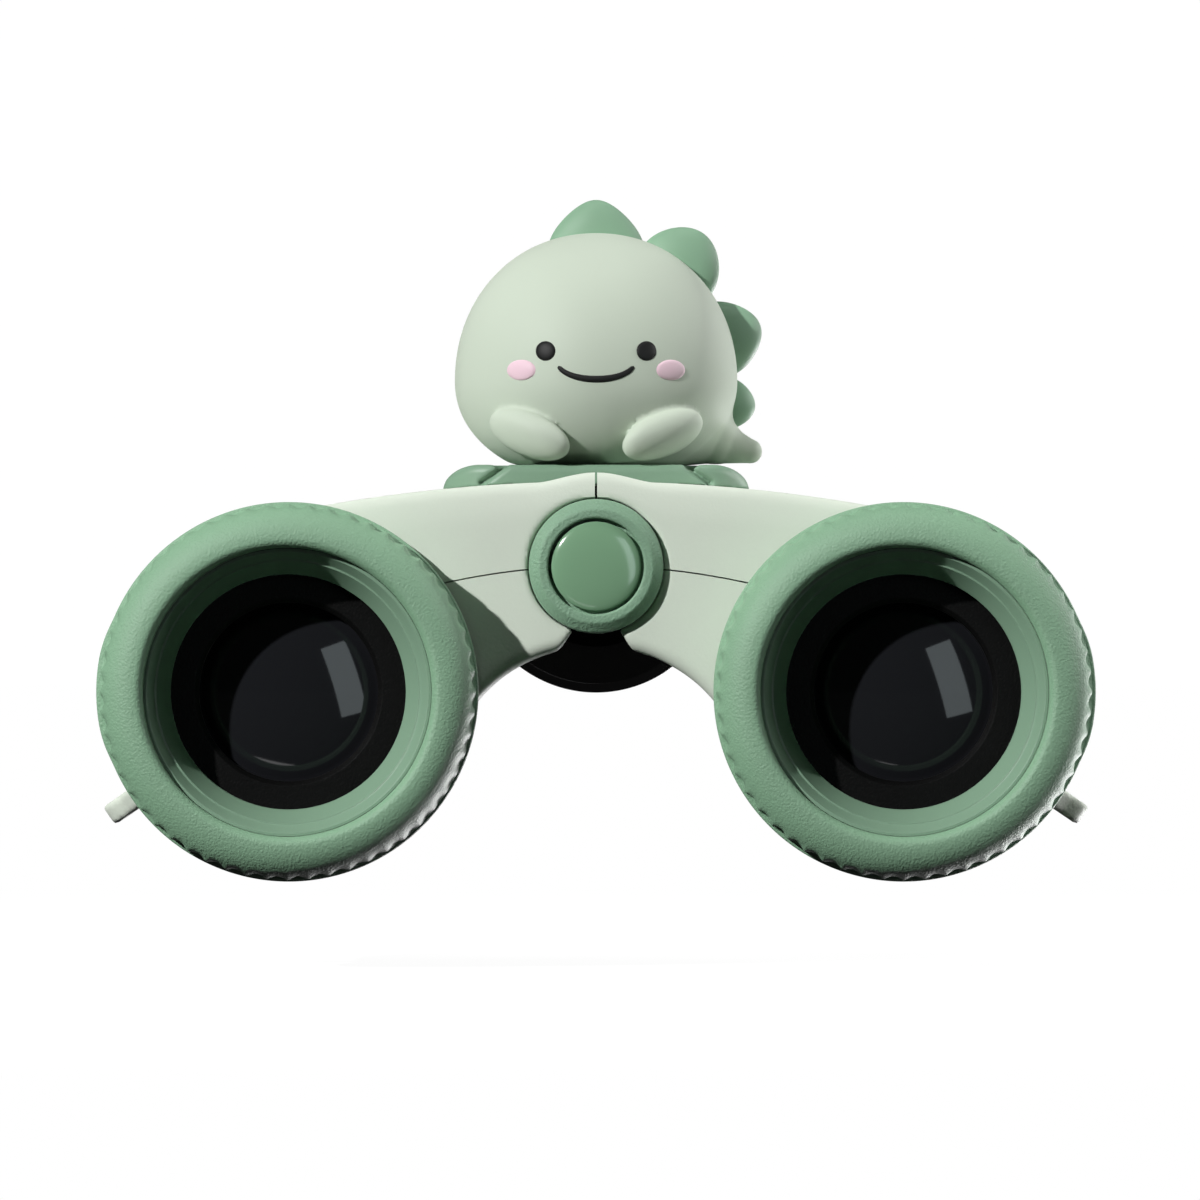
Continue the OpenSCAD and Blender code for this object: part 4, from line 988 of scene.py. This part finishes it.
def egg(radius, h):
    """Distance to the figure's body, from the distance to its upright axis and the height."""
    tall = np.where(h > BELLY_H, CROWN_H, UNDER_H)
    u = np.maximum(radius / BELLY_R, 1e-6)
    v = np.maximum(np.abs(h - BELLY_H) / tall, 1e-6)
    reach = (u**FULL + v**FULL) ** (1 / FULL)
    slope = np.hypot(u ** (FULL - 1) / BELLY_R, v ** (FULL - 1) / tall) * reach ** (1 - FULL)
    return (reach - 1) / slope


def egg_radius(h):
    """The body's radius at a height over the saddle."""
    tall = np.where(h > BELLY_H, CROWN_H, UNDER_H)
    return BELLY_R * np.maximum(1 - (np.abs(h - BELLY_H) / tall) ** FULL, 0) ** (1 / FULL)


def taper(x, y, h, start, end, r0, r1):
    """Distance to a round-ended cone."""
    along = np.array(end) - np.array(start)
    off = [value - first for value, first in zip((x, y, h), start)]
    t = np.clip(sum(a * b for a, b in zip(off, along)) / (along @ along), 0, 1)
    away = np.sqrt(sum((a - t * b) ** 2 for a, b in zip(off, along)))
    return away - r0 - (r1 - r0) * t


def figure(x, s, z):
    """Field of the body with its tail and paws, flat below."""
    y, h = s - SADDLE_MID, z - FIGURE_Z
    form = egg(np.hypot(x, y), h)
    thick_tail = taper(x, y, h, TAIL_ROOT, TAIL_BEND, TAIL_ROOT_R, TAIL_BEND_R)
    thin_tail = taper(x, y, h, TAIL_BEND, TAIL_TIP, TAIL_BEND_R, TAIL_TIP_R)
    form = round_min(form, np.minimum(thick_tail, thin_tail), TAIL_FILLET)
    flat = math.cos(PAW_DIP)
    lay = (flat * math.cos(PAW_SWING), flat * math.sin(PAW_SWING), math.sin(PAW_DIP))
    off = np.abs(x) - PAW_X, y - PAW_Y + PAW_LEAN * (h - PAW_H), h - PAW_H
    along = sum(a * b for a, b in zip(lay, off))
    aside = np.sqrt(np.maximum(sum(a * a for a in off) - along**2, 0))
    paw = oval(np.abs(along), aside, PAW_HALF_L, PAW_R)
    form = round_min(form, paw, PAW_FILLET)
    return round_max(form, -h, FOOT_EDGE)


figure_low = (-17.5, SADDLE_MID - 17.5, FIGURE_Z - 1)
figure_high = (20, SADDLE_MID + 17.5, FIGURE_Z + 27.5)
place("figure_body", skin(figure, figure_low, figure_high, FIGURE_STEP), figure_pale, "centre",
      ["dino_body", "dino_left_paw", "dino_right_paw"], crease=70)
CREST_BACK = 2
CREST_HALF = 2.2
CREST_SINK = 0.4
CREST_ROOT = 2.0
CREST_SCALE = 2.4
CREST_REACH = 8
CREST_STEP = 0.25
for name, node, angle, width, height, narrowing in (
    ("crown_crest", "dino_head_plate", 0, 10.1, 3.78, 0.36),
    ("neck_crest", "dino_neck_plate", 36, 9.3, 4.0, 0.15),
    ("back_crest", "dino_back_plate", 71, 8.3, 3.5, 0.25),
    ("tail_crest", "dino_tail_plate", 99.5, 5.8, 2.4, 0.22),
):
    lean = math.radians(angle)
    tall = CROWN_H if angle < 90 else UNDER_H
    foot = ((math.sin(lean) / BELLY_R) ** FULL + (abs(math.cos(lean)) / tall) ** FULL) ** (-1 / FULL)

    def crest(x, s, z):
        along_x, along_h = x - foot * math.sin(lean), z - FIGURE_Z - BELLY_H - foot * math.cos(lean)
        out = along_x * math.sin(lean) + along_h * math.cos(lean)
        over = along_x * math.cos(lean) - along_h * math.sin(lean)
        t = np.clip((out + CREST_SINK) / (height + CREST_SINK), -0.6, 1.2)
        wide = np.abs(over) / (width / 2 * (1 - narrowing * t))
        thick = (s - SADDLE_MID - CREST_BACK) / CREST_HALF
        puffed = (np.hypot(np.hypot(wide, np.maximum(t, 0)), thick) - 1) * CREST_SCALE
        return np.maximum(puffed, -CREST_ROOT - out)

    foot_z = FIGURE_Z + BELLY_H + foot * math.cos(lean)
    centre = np.array((foot * math.sin(lean), SADDLE_MID + CREST_BACK, foot_z))
    plate = skin(crest, centre - CREST_REACH, centre + CREST_REACH, CREST_STEP)
    place(name, plate, figure_green, "centre", [node], crease=70)
ENAMEL_CROWN = 0.25
ENAMEL_ROOT = 0.4


def on_body(x, h, lift):
    """Point on the front of the figure's body, raised by a lift."""
    r = float(egg_radius(h)) + lift
    return x, SADDLE_MID - math.sqrt(r * r - x * x), FIGURE_Z + h


def spot(x, h, half_w, half_h, crown):
    """Crowned oval on the body's front, closed behind."""
    rings, around = 7, 40
    points, faces = [on_body(x, h, crown)], []
    for i in range(1, rings + 2):
        share = min(i / rings, 1)
        lift = crown * math.sqrt(1 - share**2) if i <= rings else -ENAMEL_ROOT
        points += [
            on_body(x + half_w * share * math.cos(a), h + half_h * share * math.sin(a), lift)
            for a in np.arange(around) * 2 * math.pi / around
        ]
    points.append(on_body(x, h, -ENAMEL_ROOT))
    for j in range(around):
        k = (j + 1) % around
        faces.append([0, 1 + j, 1 + k])
        for i in range(rings):
            a, b = 1 + i * around, 1 + (i + 1) * around
            faces.append([a + j, b + j, b + k, a + k])
        last = 1 + rings * around
        faces.append([last + j, len(points) - 1, last + k])
    return points, faces


def stroke(x, h, half_w, dip, thick):
    """Round line along the lower half of an oval on the body's front."""
    steps, around = 40, 12
    points, faces = [], []
    for i in range(steps + 1):
        reach = 2 * i / steps - 1
        a = math.pi * (1.5 + 0.43 * reach)
        end = math.sqrt(max(1 - abs(reach) ** 24, 0.02)) * (1 - 0.3 * reach * reach)
        for j in range(around):
            b = 2 * math.pi * j / around
            swell = 1 + thick * end * math.cos(b) / half_w, 1 + thick * end * math.cos(b) / dip
            points.append(on_body(x + half_w * swell[0] * math.cos(a), h + dip * swell[1] * math.sin(a),
                                  0.22 * end * math.sin(b)))
    for i in range(steps):
        for j in range(around):
            k = (j + 1) % around
            faces.append([i * around + j, i * around + k, (i + 1) * around + k, (i + 1) * around + j])
    faces += [list(range(around))[::-1], list(range(steps * around, (steps + 1) * around))]
    return points, faces


EYE_X = 5.6
EYE_H = 12.6
EYE_R = 1.1
SMILE_H = 11.35
SMILE_HALF_W = 4.25
SMILE_DIP = 1.9
SMILE_THICK = 0.38
CHEEK_X = 8.3
CHEEK_H = 10.5
CHEEK_HALF_W = 1.6
CHEEK_HALF_H = 1.15
eyes = joined(*[spot(x, EYE_H, EYE_R, EYE_R, ENAMEL_CROWN) for x in (-EYE_X, EYE_X)])
cheeks = joined(*[spot(x, CHEEK_H, CHEEK_HALF_W, CHEEK_HALF_H, ENAMEL_CROWN) for x in (-CHEEK_X, CHEEK_X)])
smile = stroke(0, SMILE_H, SMILE_HALF_W, SMILE_DIP, SMILE_THICK)
place("face_eyes", eyes, enamel_black, "centre", ["dino_eyes"], crease=70)
place("face_smile", smile, enamel_black, "centre", ["dino_smile"], crease=70)
place("face_cheeks", cheeks, enamel_blush, "centre", ["dino_cheeks"], crease=70)

# Setting: a floor where the folded barrels reach, and a surround, both white to the camera. A small hard key
# stands at the upper left front, softer lamps above, at the right and behind it. Two lamps in front and one
# low behind only make reflections. The camera has a long lens and looks straight from the front.

FOLDED_REACH = -9.6
FLOOR_R = 6
FLOOR_SHADE = 0.03
DIM_SURROUND = 0.004
GLOSSY_SHARE = 0.02
SHADOW_NEAR = 0.12
SHADOW_FAR = 0.45
SHADOW_GAIN = 3


def seen_rays(start):
    """Rays that see white: the camera's, those through glass, and a share of the reflected ones."""
    camera_rays = start.make("ShaderNodeLightPath", {}, {}, "Is Camera Ray")
    outputs = camera_rays.socket.node.outputs
    through = Wire(start.tree, outputs["Is Transmission Ray"])
    glossy = Wire(start.tree, outputs["Is Glossy Ray"])
    return camera_rays + through + glossy * GLOSSY_SHARE


def stage_sheet(name, corners, shade):
    """A sheet that the camera sees as white, less a share near the object that is left to its shadow."""
    mesh = bpy.data.meshes.new(name)
    mesh.from_pydata(corners, [], [list(range(len(corners)))])
    material = bpy.data.materials.new(name)
    material.use_nodes = True
    tree = material.node_tree
    tree.nodes.clear()
    start = Wire(tree, None)
    seen = seen_rays(start)
    place_at = start.make("ShaderNodeTexCoord", {}, {}, "Object")
    away = start.make("ShaderNodeVectorMath", {"operation": "LENGTH"}, {0: place_at}, "Value")
    near = ramp(away, SHADOW_NEAR, SHADOW_FAR, shade, 0.0)
    white = start.make("ShaderNodeEmission", {}, {"Color": (1, 1, 1, 1), "Strength": 1 - near})
    matte = start.make("ShaderNodeBsdfDiffuse", {}, {"Color": near * SHADOW_GAIN})
    plain = start.make("ShaderNodeBsdfTransparent", {}, {})
    bright = start.make("ShaderNodeAddShader", {}, {0: white, 1: matte})
    under = start.make("ShaderNodeNewGeometry", {}, {}, "Backfacing")
    both = start.make("ShaderNodeMixShader", {}, {0: seen * (1 - under), 1: plain, 2: bright})
    start.make("ShaderNodeOutputMaterial", {}, {"Surface": both})
    mesh.materials.append(material)
    sheet = bpy.data.objects.new(name, mesh)
    bpy.context.scene.collection.objects.link(sheet)


floor_turns = np.arange(48) * 2 * math.pi / 48
floor_corners = [(FLOOR_R * math.cos(a), FLOOR_R * math.sin(a), FOLDED_REACH * MM) for a in floor_turns]
stage_sheet("floor", floor_corners, FLOOR_SHADE)
world = bpy.data.worlds.new("white_surround")
bpy.context.scene.world = world
world.use_nodes = True
world.node_tree.nodes.clear()
sky = Wire(world.node_tree, None)
strength = DIM_SURROUND + seen_rays(sky)
glow = sky.make("ShaderNodeBackground", {}, {"Color": (1, 1, 1, 1), "Strength": strength})
sky.make("ShaderNodeOutputWorld", {}, {"Surface": glow})
target = Vector((0, FRONT * MM, 0.031))


def lamp(name, direction, distance, width, height, watts, roll=0, diffuse=True, tone=(1, 1, 1)):
    """An area lamp that faces the object, its direction as seen from there."""
    light = bpy.data.lights.new(name, "AREA")
    light.shape = "RECTANGLE"
    light.size, light.size_y, light.energy, light.color = width, height, watts, tone
    piece = bpy.data.objects.new(name, light)
    piece.location = target + Vector(direction).normalized() * distance
    aim = Vector(direction).to_track_quat("Z", "Y")
    piece.rotation_euler = (aim @ Quaternion((0, 0, 1), math.radians(roll))).to_euler()
    piece.visible_diffuse = diffuse
    bpy.context.scene.collection.objects.link(piece)


lamp("key", (-0.626, -0.634, 0.455), distance=1.5, width=0.03, height=0.03, watts=24.5)
lamp("overhead", (0.05, -0.12, 0.99), distance=1.2, width=1.0, height=0.4, watts=4.0)
lamp("right_side", (0.95, 0.04, 0.3), distance=1.2, width=0.4, height=0.6, watts=7.5)
lamp("behind_right", (0.740, 0.621, 0.259), distance=1.2, width=0.6, height=0.6, watts=5.0)
lamp("low_behind", (0.62, 0.65, -0.44), distance=1.2, width=0.6, height=0.6, watts=24.0, diffuse=False)
lamp("soft_front", (0.45, -0.88, 0.1), distance=1.2, width=0.3, height=0.8, watts=2.2,
     roll=16, diffuse=False, tone=(0.85, 0.97, 1))
lamp("low_strip", (-0.243, -0.755, -0.61), distance=1.0, width=0.5, height=0.07, watts=0.32,
     roll=-20, diffuse=False)

CAMERA_AWAY = 1.8
CAMERA_X = 0.00044
CAMERA_Z = 0.03116
FRAME_W = 0.132
SENSOR_W = 36
camera_data = bpy.data.cameras.new("front_camera")
camera_data.sensor_width = SENSOR_W
camera_data.lens = SENSOR_W * CAMERA_AWAY / FRAME_W
camera_data.clip_end = 20
camera = bpy.data.objects.new("front_camera", camera_data)
camera.location = (CAMERA_X, FRONT * MM - CAMERA_AWAY, CAMERA_Z)
camera.rotation_euler = (math.pi / 2, 0, 0)
bpy.context.scene.collection.objects.link(camera)
bpy.context.scene.camera = camera
bpy.context.scene.view_settings.view_transform = "Standard"
